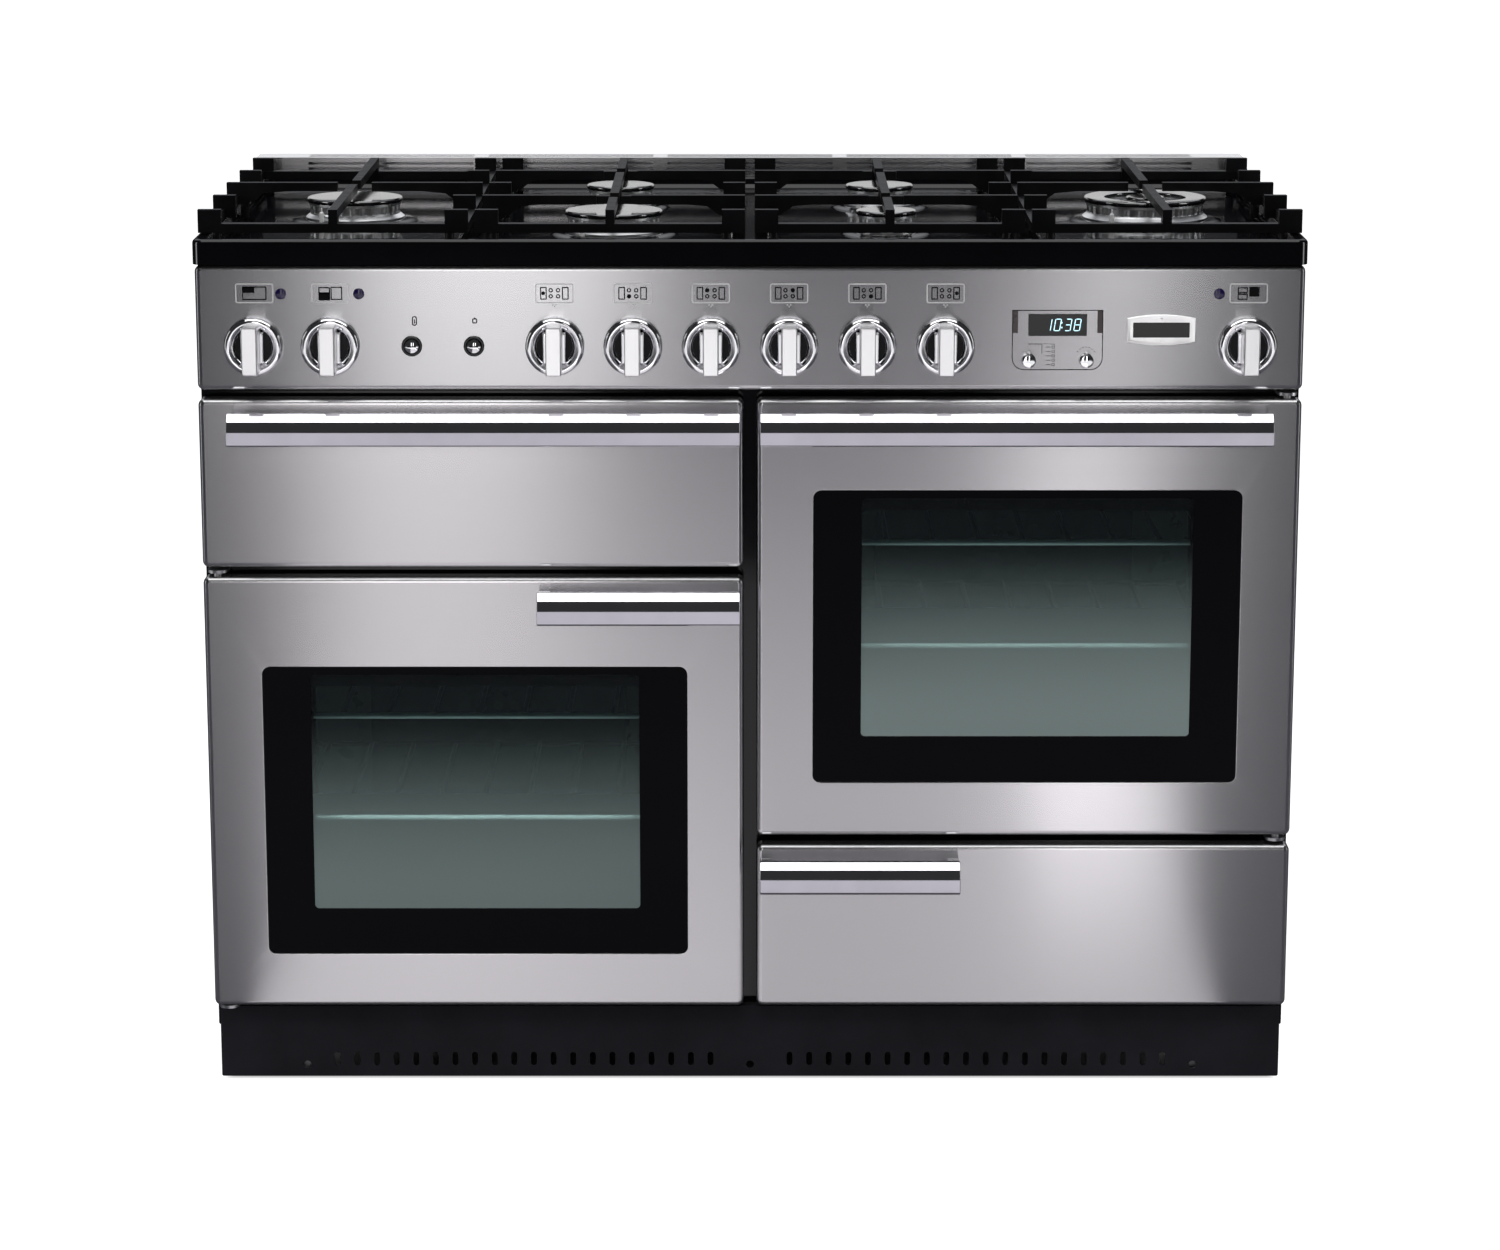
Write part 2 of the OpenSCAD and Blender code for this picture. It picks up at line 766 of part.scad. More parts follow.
// One casting: a base frame, short blocks along both sides, and long fingers that reach over its burners
module pan_support(rows) {
    half_w = support_w / 2;
    half_d = support_d / 2;
    top_h = support_top - support_z;
    // Base frame
    difference() {
        slab([-half_w, half_w], [-half_d, half_d], [support_z, support_z + base_rail_h]);
        slab([-half_w + base_rail_w, half_w - base_rail_w], [-half_d + base_rail_w, half_d - base_rail_w],
             [support_z - eps, support_z + base_rail_h + eps]);
    }
    // Blocks along both sides, each with a foot under its inner end where it is a corner or middle block
    for (s = [-1, 1], row = [-2:2]) {
        y = support_row_y(row);
        slab(both(s, half_w - stub_l, half_w), around(y, finger_t), [support_z, support_top]);
        if (abs(row) != 1)
            rod_z(s * (half_w - stub_l + finger_t / 2), y, [tray_z, support_z + 1], finger_t);
    }
    // Fingers across, over each burner
    for (s = [-1, 1], row = rows)
        translate([0, row * burner_dy + finger_t / 2, 0])
            rotate([90, 0, 0])
                linear_extrude(finger_t)
                    polygon([[s * finger_inner, support_top],
                             [s * (half_w - 1), support_top],
                             [s * (half_w - 1), support_z],
                             [s * (half_w - stub_l - 4), support_z + 3],
                             [s * (half_w - stub_l - 16), support_top - finger_h - 2],
                             [s * (half_w - stub_l - 40), support_top - finger_h],
                             [s * finger_inner, support_top - finger_h]]);
    // Fingers from the front and rear rails towards the nearest burner
    reach = half_d - rows[len(rows) - 1] * burner_dy - finger_inner;
    for (s = [-1, 1])
        translate([-finger_t / 2, 0, 0])
            rotate([90, 0, 90])
                linear_extrude(finger_t)
                    polygon([[s * half_d, support_top],
                             [s * half_d, support_z],
                             [s * (half_d - base_rail_w), support_z],
                             [s * (half_d - base_rail_w - 8), support_top - finger_h],
                             [s * (half_d - reach), support_top - finger_h],
                             [s * (half_d - reach), support_top]]);
    // Between two burners a rail crosses the frame, and a finger on it reaches both ways
    if (len(rows) > 1) {
        slab([-half_w + 1, half_w - 1], around(0, finger_t), [support_z, support_z + base_rail_h]);
        slab(around(0, finger_t), [-burner_dy + finger_inner, burner_dy - finger_inner],
             [support_top - finger_h, support_top]);
        slab(around(0, finger_t), around(0, finger_t), [support_z, support_z + top_h - 1]);
    }
}

function support_row_y(row) = abs(row) == 2 ? sign(row) * (support_d - finger_t) / 2 : row * burner_dy;

module outer_pan_supports() {
    color("#151517")
        for (s = [-1, 1])
            translate([s * outer_support_x, hob_mid_y, 0])
                pan_support([0]);
}

module centre_pan_supports() {
    color("#151517")
        for (s = [-1, 1])
            translate([s * centre_support_x, hob_mid_y, 0])
                pan_support([-1, 1]);
}

// Control panel

module control_panel() {
    color("#b3b5b8")
        difference() {
            front_slab([-side_x, side_x], [front_y, frame_y], [panel_z, panel_top], corner_r);
            front_slab([-side_x + sheet_t, side_x - sheet_t], [front_y + sheet_t, frame_y - sheet_t],
                       [panel_z + sheet_t, panel_top - sheet_t], corner_r - sheet_t);
            // The back is open inside its folded flange
            slab([-side_x + fold_w, side_x - fold_w], [frame_y - sheet_t - eps, frame_y + eps],
                 [panel_z + fold_w, panel_top - fold_w]);
            for (x = knob_x)
                on_panel(x, panel_knob_z)
                    translate([0, 0, -sheet_t - eps])
                        cylinder(d = spindle_d + 4, h = sheet_t + 2 * eps);
            for (x = button_x)
                on_panel(x, panel_knob_z)
                    translate([0, 0, -sheet_t - eps])
                        cylinder(d = button_d + 4, h = sheet_t + 2 * eps);
            for (x = lamp_x)
                on_panel(x, lamp_z)
                    translate([0, 0, -sheet_t - eps])
                        cylinder(d = lamp_d - 2, h = sheet_t + 2 * eps);
            // Clock window and the holes of its two knobs
            slab(around(clock_x, window_w), [front_y - eps, front_y + sheet_t + eps],
                 [window_z, window_z + window_h]);
            for (s = [-1, 1])
                on_panel(clock_x + s * clock_knob_dx, clock_knob_z)
                    translate([0, 0, -sheet_t - eps])
                        cylinder(d = clock_stem_d + 2, h = sheet_t + 2 * eps);
        }
}

// Clock, indicator lamps, the rings round the buttons and the bare plate at the right
module panel_fittings() {
    color("#0b0b0d") {
        difference() {
            union() {
                slab(around(clock_x, clock_w - 8), [front_y + sheet_t, front_y + sheet_t + 18],
                     [clock_knob_z - 12, clock_top]);
                slab([clock_x - window_w / 2 + slip, clock_x + window_w / 2 - slip],
                     [front_y - 1, front_y + sheet_t + 1], [window_z + slip, window_z + window_h - slip]);
            }
            for (s = [-1, 1])
                on_panel(clock_x + s * clock_knob_dx, clock_knob_z)
                    translate([0, 0, -sheet_t - 20])
                        cylinder(d = clock_stem_d + 2 * running, h = 20 + eps);
        }
        for (x = button_x)
            on_panel(x, panel_knob_z)
                difference() {
                    union() {
                        translate([0, 0, -button_depth])
                            cylinder(d = button_d + 4 - 2 * slip, h = button_depth + 1);
                        cylinder(d = button_ring_d, h = 2.5);
                    }
                    translate([0, 0, -button_depth - eps])
                        cylinder(d = button_stem_d + 2 * running, h = button_depth);
                    translate([0, 0, -button_travel - 2])
                        cylinder(d = button_d + 2 * slip, h = 20);
                }
    }
    color("#2a2350")
        for (x = lamp_x)
            on_panel(x, lamp_z) {
                translate([0, 0, -12])
                    cylinder(d = lamp_d - 2 - 2 * slip, h = 13);
                cylinder(d = lamp_d, h = 2);
            }
    color("#d8d8d4")
        oven_switches();
    color("#c9cacc")
        front_slab(around(badge_x, badge_w), [front_y - 1.5, front_y],
                   around(badge_z, badge_h), 3);
}

module knob(x) {
    ring_r = knob_ring_w / 2;
    color("#cfd1d4")
        on_panel(x, panel_knob_z) {
            // Skirt with its rounded chrome ring, and the sunk disc inside it
            rotate_extrude() {
                translate([0, knob_gap])
                    square([knob_d / 2 - ring_r, knob_ring_w - 2]);
                translate([knob_d / 2 - ring_r, knob_gap + ring_r])
                    circle(ring_r);
            }
            // Lever
            translate([0, 0, knob_gap + 1])
                linear_extrude(knob_reach - knob_gap - 1)
                    round_rect(knob_lever_w, knob_lever_l, 3);
            // Spindle in the tap or switch behind the panel
            translate([0, 0, -spindle_in])
                cylinder(d = spindle_d, h = spindle_in + knob_gap + 1);
        }
}

module igniter_button() {
    push_button(button_x[0]);
}

module light_button() {
    push_button(button_x[1]);
}

module push_button(x) {
    color("#c4c6c8")
        on_panel(x, panel_knob_z) {
            translate([0, 0, -1])
                cylinder(d = button_d, h = button_rise - 1);
            // Domed top
            translate([0, 0, button_rise - 2])
                intersection() {
                    cylinder(d = button_d, h = 2);
                    translate([0, 0, 2 - button_dome_r])
                        sphere(button_dome_r);
                }
            translate([0, 0, -button_depth])
                cylinder(d = button_stem_d, h = button_depth);
        }
}

module clock_knob(s) {
    color("#c4c6c8")
        on_panel(clock_x + s * clock_knob_dx, clock_knob_z) {
            translate([0, 0, 1])
                cylinder(d = clock_knob_d, h = 9);
            translate([0, 0, -sheet_t - 12])
                cylinder(d = clock_stem_d, h = sheet_t + 14);
        }
}

// Ovens and grill compartment

// An enamelled box, open in front, with a flange that seats on the back of the front frame
module liner(x, z, h, shaft) {
    half_w = cavity_w / 2;
    difference() {
        union() {
            slab([x - half_w - liner_t, x + half_w + liner_t], [carcass_y, oven_back_y + liner_t],
                 [z - liner_t, z + h + liner_t]);
            slab([x - half_w - flange_w, x + half_w + flange_w], [carcass_y, carcass_y + liner_t],
                 [z - flange_w, z + h + flange_w]);
        }
        slab([x - half_w, x + half_w], [carcass_y - eps, oven_back_y], [z, z + h]);
        if (shaft)
            rod_y(x, [oven_back_y - eps, oven_back_y + liner_t + eps], z + h / 2, fan_shaft_d + 8);
    }
}

module left_oven_liner() {
    color("#26272b")
        liner(-column_x, left_cavity_z, cavity_h, true);
}

module right_oven_liner() {
    color("#26272b")
        liner(column_x, right_cavity_z, cavity_h, true);
}

module grill_liner() {
    color("#26272b")
        liner(-column_x, grill_floor_z, grill_cavity_h, false);
}

// A blanket round one liner
module blanket(x, z, h, shaft) {
    half_w = cavity_w / 2 + liner_t;
    difference() {
        slab([x - half_w - insulation_t, x + half_w + insulation_t],
             [carcass_y + liner_t, motor_y],
             [z - liner_t - insulation_t, z + h + liner_t + insulation_t]);
        slab([x - half_w, x + half_w], [carcass_y, oven_back_y + liner_t], [z - liner_t, z + h + liner_t]);
        if (shaft)
            rod_y(x, [oven_back_y, motor_y + eps], z + h / 2, fan_shaft_d + 22);
    }
}

module insulation() {
    color("#d9cf9a") {
        blanket(-column_x, left_cavity_z, cavity_h, true);
        blanket(column_x, right_cavity_z, cavity_h, true);
        blanket(-column_x, grill_floor_z, grill_cavity_h, false);
    }
}

module oven_rack(x, z) {
    half_w = cavity_w / 2;
    bar_d = rack_wire_d + 1;
    y0 = carcass_y + rack_front;
    y1 = oven_back_y - fan_room - rack_rear;
    for (y = [y0, y1])
        rod_x([x - half_w + rack_play, x + half_w - rack_play], y, z, bar_d);
    for (s = [-1, 1])
        rod_y(x + s * 4 * rack_pitch, [y0, y1], z, bar_d - 0.4);
    for (k = [-3:3])
        rod_y(x + k * rack_pitch, [y0, y1], z, rack_wire_d);
}

module oven_racks() {
    color("#c4c7ca")
        for (p = oven_places, k = [2, 4])
            oven_rack(p[0], p[1] + rack_level(k) + ladder_wire_d / 2 + (rack_wire_d + 1) / 2 + 0.1);
}

// Wire ladders on the side walls that the racks rest on
module rack_ladders() {
    color("#b4b7ba")
        for (p = oven_places, s = [-1, 1]) {
            wall = p[0] + s * cavity_w / 2;
            x = wall - s * ladder_in;
            for (y = [carcass_y + ladder_end, oven_back_y - fan_room - ladder_end]) {
                rod_z(x, y, [p[1] + ladder_foot, p[1] + cavity_h - ladder_top], ladder_wire_d + 1);
                for (k = [0.5, 4.5])
                    rod_x([min(x, wall), max(x, wall)], y, p[1] + rack_level(k), ladder_wire_d);
            }
            for (k = [0:5])
                rod_y(x, [carcass_y + ladder_foot, oven_back_y - fan_room - rack_rear / 2],
                      p[1] + rack_level(k), ladder_wire_d);
        }
}

module elements_and_lamps() {
    color("#3a3c40") {
        // A ring round each fan, and its two ends in the back wall
        for (p = oven_places)
            translate([p[0], fan_y, p[1] + cavity_h / 2]) {
                rotate([90, 0, 0])
                    rotate_extrude($fn = 96)
                        translate([ring_r, 0])
                            circle(d = element_d);
                for (s = [-1, 1])
                    rod_y(s * ring_r * cos(80), [0, oven_back_y - fan_y], -ring_r * sin(80),
                          element_d - 0.5);
            }
        grill_element();
    }
    color("#e8e4d0")
        for (p = oven_places)
            rod_y(p[0] + cavity_w / 2 - oven_lamp_d, [oven_back_y - 8, oven_back_y],
                  p[1] + cavity_h - oven_lamp_d - 8, oven_lamp_d);
}

// One rod in four runs under the grill's ceiling
module grill_element() {
    y0 = carcass_y + grill_run_in;
    y1 = oven_back_y - grill_run_in;
    z = grill_floor_z + grill_cavity_h - 14;
    translate([-column_x, 0, z]) {
        for (s = [-1, 1]) {
            rod_y(s * 1.5 * run_pitch, [y0, oven_back_y], 0, element_d);
            rod_y(s * 0.5 * run_pitch, [y0, y1], 0, element_d);
            translate([s * run_pitch, y0, 0])
                mirror([0, 1, 0])
                    rotate_extrude(angle = 180)
                        translate([run_pitch / 2, 0])
                            circle(d = element_d);
        }
        translate([0, y1, 0])
            rotate_extrude(angle = 180)
                translate([run_pitch / 2, 0])
                    circle(d = element_d);
    }
}

module fan_motors() {
    color("#7d8084")
        for (p = oven_places)
            difference() {
                union() {
                    rod_y(p[0], [motor_y, motor_y + motor_l], p[1] + cavity_h / 2, motor_d);
                    slab(around(p[0], motor_foot_w), [motor_y, motor_y + motor_foot_t],
                         [p[1] + (cavity_h - motor_foot_h) / 2, p[1] + (cavity_h + motor_foot_h) / 2]);
                }
                rod_y(p[0], [motor_y - eps, motor_y + shaft_in + 1], p[1] + cavity_h / 2,
                      fan_shaft_d + 2 * running);
            }
}

// A shallow box over each fan, with intake holes in the middle and outlets at its sides
module fan_covers() {
    color("#33353a")
        for (p = oven_places)
            translate([p[0], 0, p[1] + cavity_h / 2])
                difference() {
                    slab(around(0, cover_w), [cover_y, oven_back_y], around(0, cover_h));
                    slab(around(0, cover_w - 2 * liner_t), [cover_y + liner_t, oven_back_y + eps],
                         around(0, cover_h - 2 * liner_t));
                    for (ring = [0:2], k = [0:max(0, 6 * ring - 1)])
                        rotate([0, k * 60 / max(1, ring), 0])
                            rod_y(intake_pitch * ring, [cover_y - eps, cover_y + liner_t + eps],
                                  0, intake_d);
                    for (s = [-1, 1], k = [-1:1])
                        slab(around(s * cover_w / 2, 20), around(oven_back_y - 24, 24),
                             around(k * outlet_pitch, outlet_h));
                }
}

// Fan wheel, hub and shaft turn as one
module fan(x, z) {
    color("#8b8e92")
        translate([x, 0, z]) {
            rod_y(0, [fan_y + 9, fan_y + 11], 0, fan_d);
            rod_y(0, [fan_y - 12, fan_y + 10], 0, 22);
            rod_y(0, [fan_y, motor_y + shaft_in], 0, fan_shaft_d);
            for (k = [0:9])
                rotate([0, k * 36, 0])
                    slab([fan_d / 2 - 26, fan_d / 2 - 2], [fan_y - 12, fan_y + 10], [-0.8, 0.8]);
        }
}

module left_fan() {
    fan(-column_x, left_cavity_z + cavity_h / 2);
}

module right_fan() {
    fan(column_x, right_cavity_z + cavity_h / 2);
}

// Gas rail, taps and the six supply pipes; its inlet stands out at the rear
module gas_rail() {
    color("#b08d4a")
        difference() {
            union() {
                rod_x([gas_inlet_x, knob_x[gas_last] + tap_w], gas_rail_y, gas_rail_z, gas_pipe_d);
                translate([gas_inlet_x, gas_rail_y, gas_rail_z])
                    sphere(d = gas_pipe_d);
                rod_y(gas_inlet_x, [gas_rail_y, back_y - 4], gas_rail_z, gas_pipe_d - 0.6);
                rod_y(gas_inlet_x, [back_y - 4 - inlet_l, back_y - 4], gas_rail_z, inlet_d);
                for (s = [-1, 1])
                    translate([s * (knob_x[gas_last] + knob_x[gas_last - 1]) / 2, 0, 0])
                        rail_bracket();
                for (i = [gas_first:gas_last]) {
                    slab(around(knob_x[i], tap_w), [tap_y, gas_rail_y],
                         around(gas_rail_z, tap_h));
                    supply_pipe(knob_x[i], i - gas_first);
                }
            }
            for (i = [gas_first:gas_last])
                rod_y(knob_x[i], [tap_y - eps, front_y + spindle_in + 0.5], gas_rail_z,
                      spindle_d + 2 * running);
            rod_y(gas_inlet_x, [back_y - 4 - inlet_l, back_y], gas_rail_z, gas_pipe_d - 3);
        }
}

// Strap that is screwed to the back of the front frame and holds the rail from below
module rail_bracket() {
    x = around(0, strap_w);
    slab(x, [carcass_y, carcass_y + strap_t], [strap_z - 14, strap_z]);
    slab(x, [carcass_y, gas_rail_y + strap_t / 2], [strap_z - strap_t, strap_z]);
    slab(x, around(gas_rail_y, strap_t),
         [strap_z - strap_t, gas_rail_z - gas_pipe_d / 2 + 2]);
}

// Up from the tap, back to the burner's row, across to the burner and up to its cup
module supply_pipe(x, i) {
    y0 = gas_rail_y - inlet_l;
    z1 = tray_z - cup_h - inlet_l;
    rod_z(x, y0, [gas_rail_z, z1], pipe_d);
    rod_y(x, [y0, burner_y(i)], z1, pipe_d - 0.4);
    rod_x([min(x, burner_x[i]), max(x, burner_x[i])], burner_y(i), z1, pipe_d);
    rod_z(burner_x[i], burner_y(i), [z1, tray_z - cup_h], pipe_d - 0.4);
    rod_z(burner_x[i], burner_y(i), [tray_z - cup_h - 6, tray_z - cup_h], throat_d + 8);
    for (p = [[x, y0], [x, burner_y(i)], [burner_x[i], burner_y(i)]])
        translate([p[0], p[1], z1])
            sphere(d = pipe_d + 1);
}

// Cover over the mains terminals, with the hole that a cable enters through in its underside
module terminal_box() {
    color("#2b2c2e")
        difference() {
            slab(around(terminal_x, terminal_w), [rear_y + sheet_t, terminal_back],
                 [terminal_z, terminal_z + terminal_h]);
            slab(around(terminal_x, terminal_w - 2 * cover_t),
                 [rear_y + sheet_t + cover_t, terminal_back - cover_t],
                 [terminal_z + cover_t, terminal_z + terminal_h - cover_t]);
            rod_z(terminal_x, (rear_y + sheet_t + terminal_back) / 2,
                  [terminal_z - eps, terminal_z + cover_t + eps], cable_hole_d);
        }
}

module oven_seals() {
    color("#1a1a1a")
        for (p = oven_places)
            difference() {
                front_slab(around(p[0], cavity_w + 2 * seal_out), [frame_y - door_air + slip, frame_y],
                           around(p[1] + cavity_h / 2, cavity_h + 2 * seal_out), seal_out);
                front_slab(around(p[0], cavity_w + 2 * seal_in), [frame_y - door_air, frame_y + eps],
                           around(p[1] + cavity_h / 2, cavity_h + 2 * seal_in), seal_in + 2);
            }
}

// Fronts, doors and drawers. Each is drawn in the right column; the left column mirrors it

module left_column() {
    mirror([1, 0, 0])
        children();
}

// Steel pan that forms the outside of a door or front, open at the back inside its folded flange
module front_skin(z, h, window, hinged) {
    y1 = front_y + skin_d;
    difference() {
        union() {
            difference() {
                front_slab([x_in, x_out], [front_y, y1], [z, z + h], corner_r);
                front_slab([x_in + sheet_t, x_out - sheet_t], [front_y + sheet_t, y1 - sheet_t],
                           [z + sheet_t, z + h - sheet_t], corner_r - sheet_t / 2);
            }
            // Blocks inside the upper and lower hinge corners
            if (hinged)
                for (z_block = [z + 1, z + h - 1 - pin_block_h])
                    slab([pivot_x - pivot_room + 3, x_out - 1], [front_y + 1, y1 - 1],
                         [z_block, z_block + pin_block_h]);
        }
        slab([x_in + skin_flange, x_out - skin_flange], [y1 - sheet_t - eps, y1 + eps],
             [z + skin_flange, z + h - skin_flange]);
        if (window)
            front_slab([column_x - glass_w / 2 - slip, column_x + glass_w / 2 + slip],
                       [front_y - eps, front_y + sheet_t + eps],
                       [z + glass_z - slip, z + glass_z + glass_h + slip], glass_r);
        if (hinged)
            for (z_bore = [[z - eps, z + hinge_pin_in + 0.5], [z + h - hinge_pin_in - 0.5, z + h + eps]])
                rod_z(pivot_x, pivot_y, z_bore, hinge_pin_d + 2 * running);
    }
}

// Outer black glass and inner clear glass of a door
module door_glass(z) {
    glass_mid_z = z + glass_z + glass_h / 2;
    front_slab(around(column_x, glass_w), [glass_y, glass_y + glass_t],
               around(glass_mid_z, glass_h), glass_r);
    front_slab(around(column_x, inner_w + 4 * glass_edge),
               [door_back_y - sheet_t - inner_glass_t, door_back_y - sheet_t],
               around(glass_mid_z, inner_h + 4 * glass_edge), 4);
}

// Inner side of a door: a plate with a raised rim, and a box frame that carries the outer glass
module door_liner(z) {
    y1 = front_y + skin_d;
    hinge_inset = pivot_in + pivot_room;
    box_w = glass_w - 2 * glass_edge;
    box_h = glass_h - 2 * glass_edge;
    glass_mid_z = z + glass_z + glass_h / 2;
    difference() {
        union() {
            difference() {
                front_slab([x_in + liner_inset, x_out - hinge_inset], [y1, door_back_y],
                           [z + liner_inset, z + door_h - liner_inset], 5);
                front_slab([x_in + liner_inset + sheet_t, x_out - hinge_inset - sheet_t],
                           [y1 - eps, door_back_y - sheet_t],
                           [z + liner_inset + sheet_t, z + door_h - liner_inset - sheet_t], 4);
            }
            slab(around(column_x, box_w), [glass_y + glass_t, door_back_y - 0.5],
                 around(glass_mid_z, box_h));
        }
        slab(around(column_x, box_w - 2 * sheet_t), [glass_y + glass_t - eps, door_back_y - sheet_t],
             around(glass_mid_z, box_h - 2 * sheet_t));
        front_slab(around(column_x, inner_w), [door_back_y - 2 * sheet_t, door_back_y + eps],
                   around(glass_mid_z, inner_h), 6);
    }
}

// A bar with a round upper front edge, on a post at each end
module handle(w, z_front, h_front) {
    z0 = z_front + h_front - handle_drop - handle_h / 2;
    y0 = front_y - handle_reach;
    x0 = x_in + handle_in;
    translate([x0, y0, z0])
        rotate([90, 0, 90])
            linear_extrude(w)
                intersection() {
                    square([handle_bar_d, handle_h]);
                    union() {
                        translate([0, handle_low_r])
                            square([handle_bar_d, handle_h - handle_low_r - handle_top_r]);
                        translate([handle_top_r, handle_low_r])
                            square([handle_bar_d, handle_h]);
                        translate([handle_low_r, 0])
                            square([handle_bar_d, handle_low_r + 1]);
                        translate([handle_low_r, handle_low_r])
                            circle(handle_low_r);
                        translate([handle_top_r, handle_h - handle_top_r])
                            circle(handle_top_r);
                    }
                }
    for (x = [x0, x0 + w - handle_post_w])
        slab([x, x + handle_post_w], [y0 + handle_bar_d - 1, front_y], [z0 + 3, z0 + handle_h - 5]);
}

module left_door_skin() {
    color("#b7b9bc")
        left_column()
            front_skin(left_door_z, door_h, true, true);
}

module right_door_skin() {
    color("#b7b9bc")
        front_skin(right_door_z, door_h, true, true);
}

module left_door_glass() {
    color("#0a0d10")
        left_column()
            door_glass(left_door_z);
}

module right_door_glass() {
    color("#0a0d10")
        door_glass(right_door_z);
}

module left_door_liner() {
    color("#1d1e21")
        left_column()
            door_liner(left_door_z);
}

module right_door_liner() {
    color("#1d1e21")
        door_liner(right_door_z);
}

module left_door_handle() {
    color("#d5d7da")
        left_column()
            handle(short_handle_w, left_door_z, door_h);
}

module right_door_handle() {
    color("#d5d7da")
        handle(long_handle_w, right_door_z, door_h);
}

// A plate and a pin over and under each door
module door_hinges() {
    color("#6a6d70") {
        left_column() {
            hinge(left_door_z + door_h + front_gap / 2, left_door_z + door_h - hinge_pin_in);
            hinge(left_door_z - plinth_gap / 2, left_door_z + hinge_pin_in);
        }
        hinge(right_door_z + door_h + panel_gap / 2, right_door_z + door_h - hinge_pin_in);
        hinge(right_door_z - front_gap / 2, right_door_z + hinge_pin_in);
    }
}

module hinge(z_plate, z_tip) {
    slab([pivot_x - 10, pivot_x + 10], [pivot_y, frame_y], [z_plate - 1.5, z_plate + 1.5]);
    rod_z(pivot_x, pivot_y, [z_plate - 1.5, z_plate + 1.5], 20);
    rod_z(pivot_x, pivot_y, [min(z_plate, z_tip), max(z_plate, z_tip)], hinge_pin_d);
}

module grill_front() {
    color("#b7b9bc")
        left_column()
            front_skin(grill_z, small_front_h, false, false);
}

module grill_handle() {
    color("#d5d7da")
        left_column()
            handle(long_handle_w, grill_z, small_front_h);
}

module drawer_front() {
    color("#b7b9bc")
        front_skin(drawer_z, small_front_h, false, false);
}

module drawer_handle() {
    color("#d5d7da")
        handle(short_handle_w, drawer_z, small_front_h);
}

// Inner plate of the grill front, and two arms whose rails run in the channels on the walls
module grill_carriage() {
    y0 = front_y + skin_d;
    y1 = y0 + grill_arm_l;
    arm_out = cavity_w / 2 - runner_t - slip;
    color("#3b3d41")
        left_column() {
            slab([column_x - cavity_w / 2 - 14, column_x + cavity_w / 2 + 14], [y0, y0 + sheet_t],
                 [grill_floor_z - 8, grill_floor_z + grill_cavity_h + 3]);
            for (s = [-1, 1])
                translate([column_x, 0, 0]) {
                    slab(both(s, arm_out - arm_t, arm_out), [y0 + 1, y1],
                         [grill_rail_z - rail_h / 2 - 4, grill_rail_z + rail_h / 2 + 4]);
                    slab(both(s, arm_out - 1, arm_out + slip + rail_w), [frame_y + 6, y1],
                         around(grill_rail_z, rail_h));
                }
            slab([column_x - arm_out + 1, column_x + arm_out - 1], [y1 - 6, y1],
                 [grill_rail_z - rail_h / 2 - 4, grill_rail_z - rail_h / 2 + 4]);
        }
}

// The pan hangs by its rim on the two arms, and its wire grid lies on it
module grill_pan() {
    arm_in = cavity_w / 2 - runner_t - slip - arm_t;
    z_rim = grill_rail_z + rail_h / 2 + 4;
    z_wire = z_rim + 2 + rack_wire_d / 2;
    y0 = carcass_y + 12;
    y1 = front_y + skin_d + grill_arm_l - 14;
    color("#1c1d20")
        left_column()
            difference() {
                union() {
                    slab(around(column_x, 2 * (arm_in - slip)), [y0, y1], [z_rim - pan_depth, z_rim + 1]);
                    slab(around(column_x, 2 * (arm_in + arm_t - 1)), [y0 - 4, y1 + 4], [z_rim, z_rim + 2]);
                }
                slab(around(column_x, 2 * (arm_in - slip - sheet_t)), [y0 + sheet_t, y1 - sheet_t],
                     [z_rim - pan_depth + sheet_t, z_rim + 2 + eps]);
            }
    color("#b9bcc0")
        left_column() {
            for (y = [y0 + 8, y1 - 8])
                rod_x(around(column_x, 2 * arm_in + 4), y, z_wire, rack_wire_d);
            for (k = [-6:6])
                rod_y(column_x + k * (arm_in - 6) / 6, [y0 + 8, y1 - 8], z_wire, rack_wire_d - 1);
        }
}

module drawer_box() {
    y0 = front_y + skin_d;
    color("#55585c") {
        difference() {
            slab(around(column_x, 2 * drawer_half), [y0, y0 + drawer_d],
                 [drawer_floor_z, drawer_floor_z + drawer_box_h]);
            slab(around(column_x, 2 * (drawer_half - sheet_t)), [y0 + sheet_t, y0 + drawer_d - sheet_t],
                 [drawer_floor_z + sheet_t, drawer_floor_z + drawer_box_h + eps]);
        }
        for (s = [-1, 1])
            translate([column_x, 0, 0])
                slab(both(s, drawer_half - 1, drawer_half + rail_w), [frame_y + 6, y0 + drawer_rail_l],
                     around(drawer_rail_z, rail_h));
    }
}

// A block with a groove that a sliding rail runs in; the groove opens towards the middle of its column
module runner(s, x_mouth, x_wall, y, z) {
    difference() {
        slab(both(s, x_mouth, x_wall), y, [z - rail_h / 2 - 4, z + rail_h / 2 + 4]);
        slab(both(s, x_mouth - eps, x_mouth + rail_w + slip), [y[0] - eps, y[1] + eps],
             [z - rail_h / 2 - slip, z + rail_h / 2 + slip]);
    }
}

module fixed_runners() {
    color("#84878b") {
        // Grill, on the walls of its compartment
        for (s = [-1, 1])
            translate([-column_x, 0, 0])
                runner(s, cavity_w / 2 - runner_t, cavity_w / 2, [carcass_y + 1, oven_back_y],
                       grill_rail_z);
        // Drawer, on the side panel and on the middle divider
        translate([column_x, 0, 0]) {
            runner(1, drawer_half + slip, side_x - sheet_t - column_x, [carcass_y, rear_y], drawer_rail_z);
            runner(-1, drawer_half + slip, column_x - sheet_t / 2, [carcass_y, rear_y], drawer_rail_z);
        }
    }
}

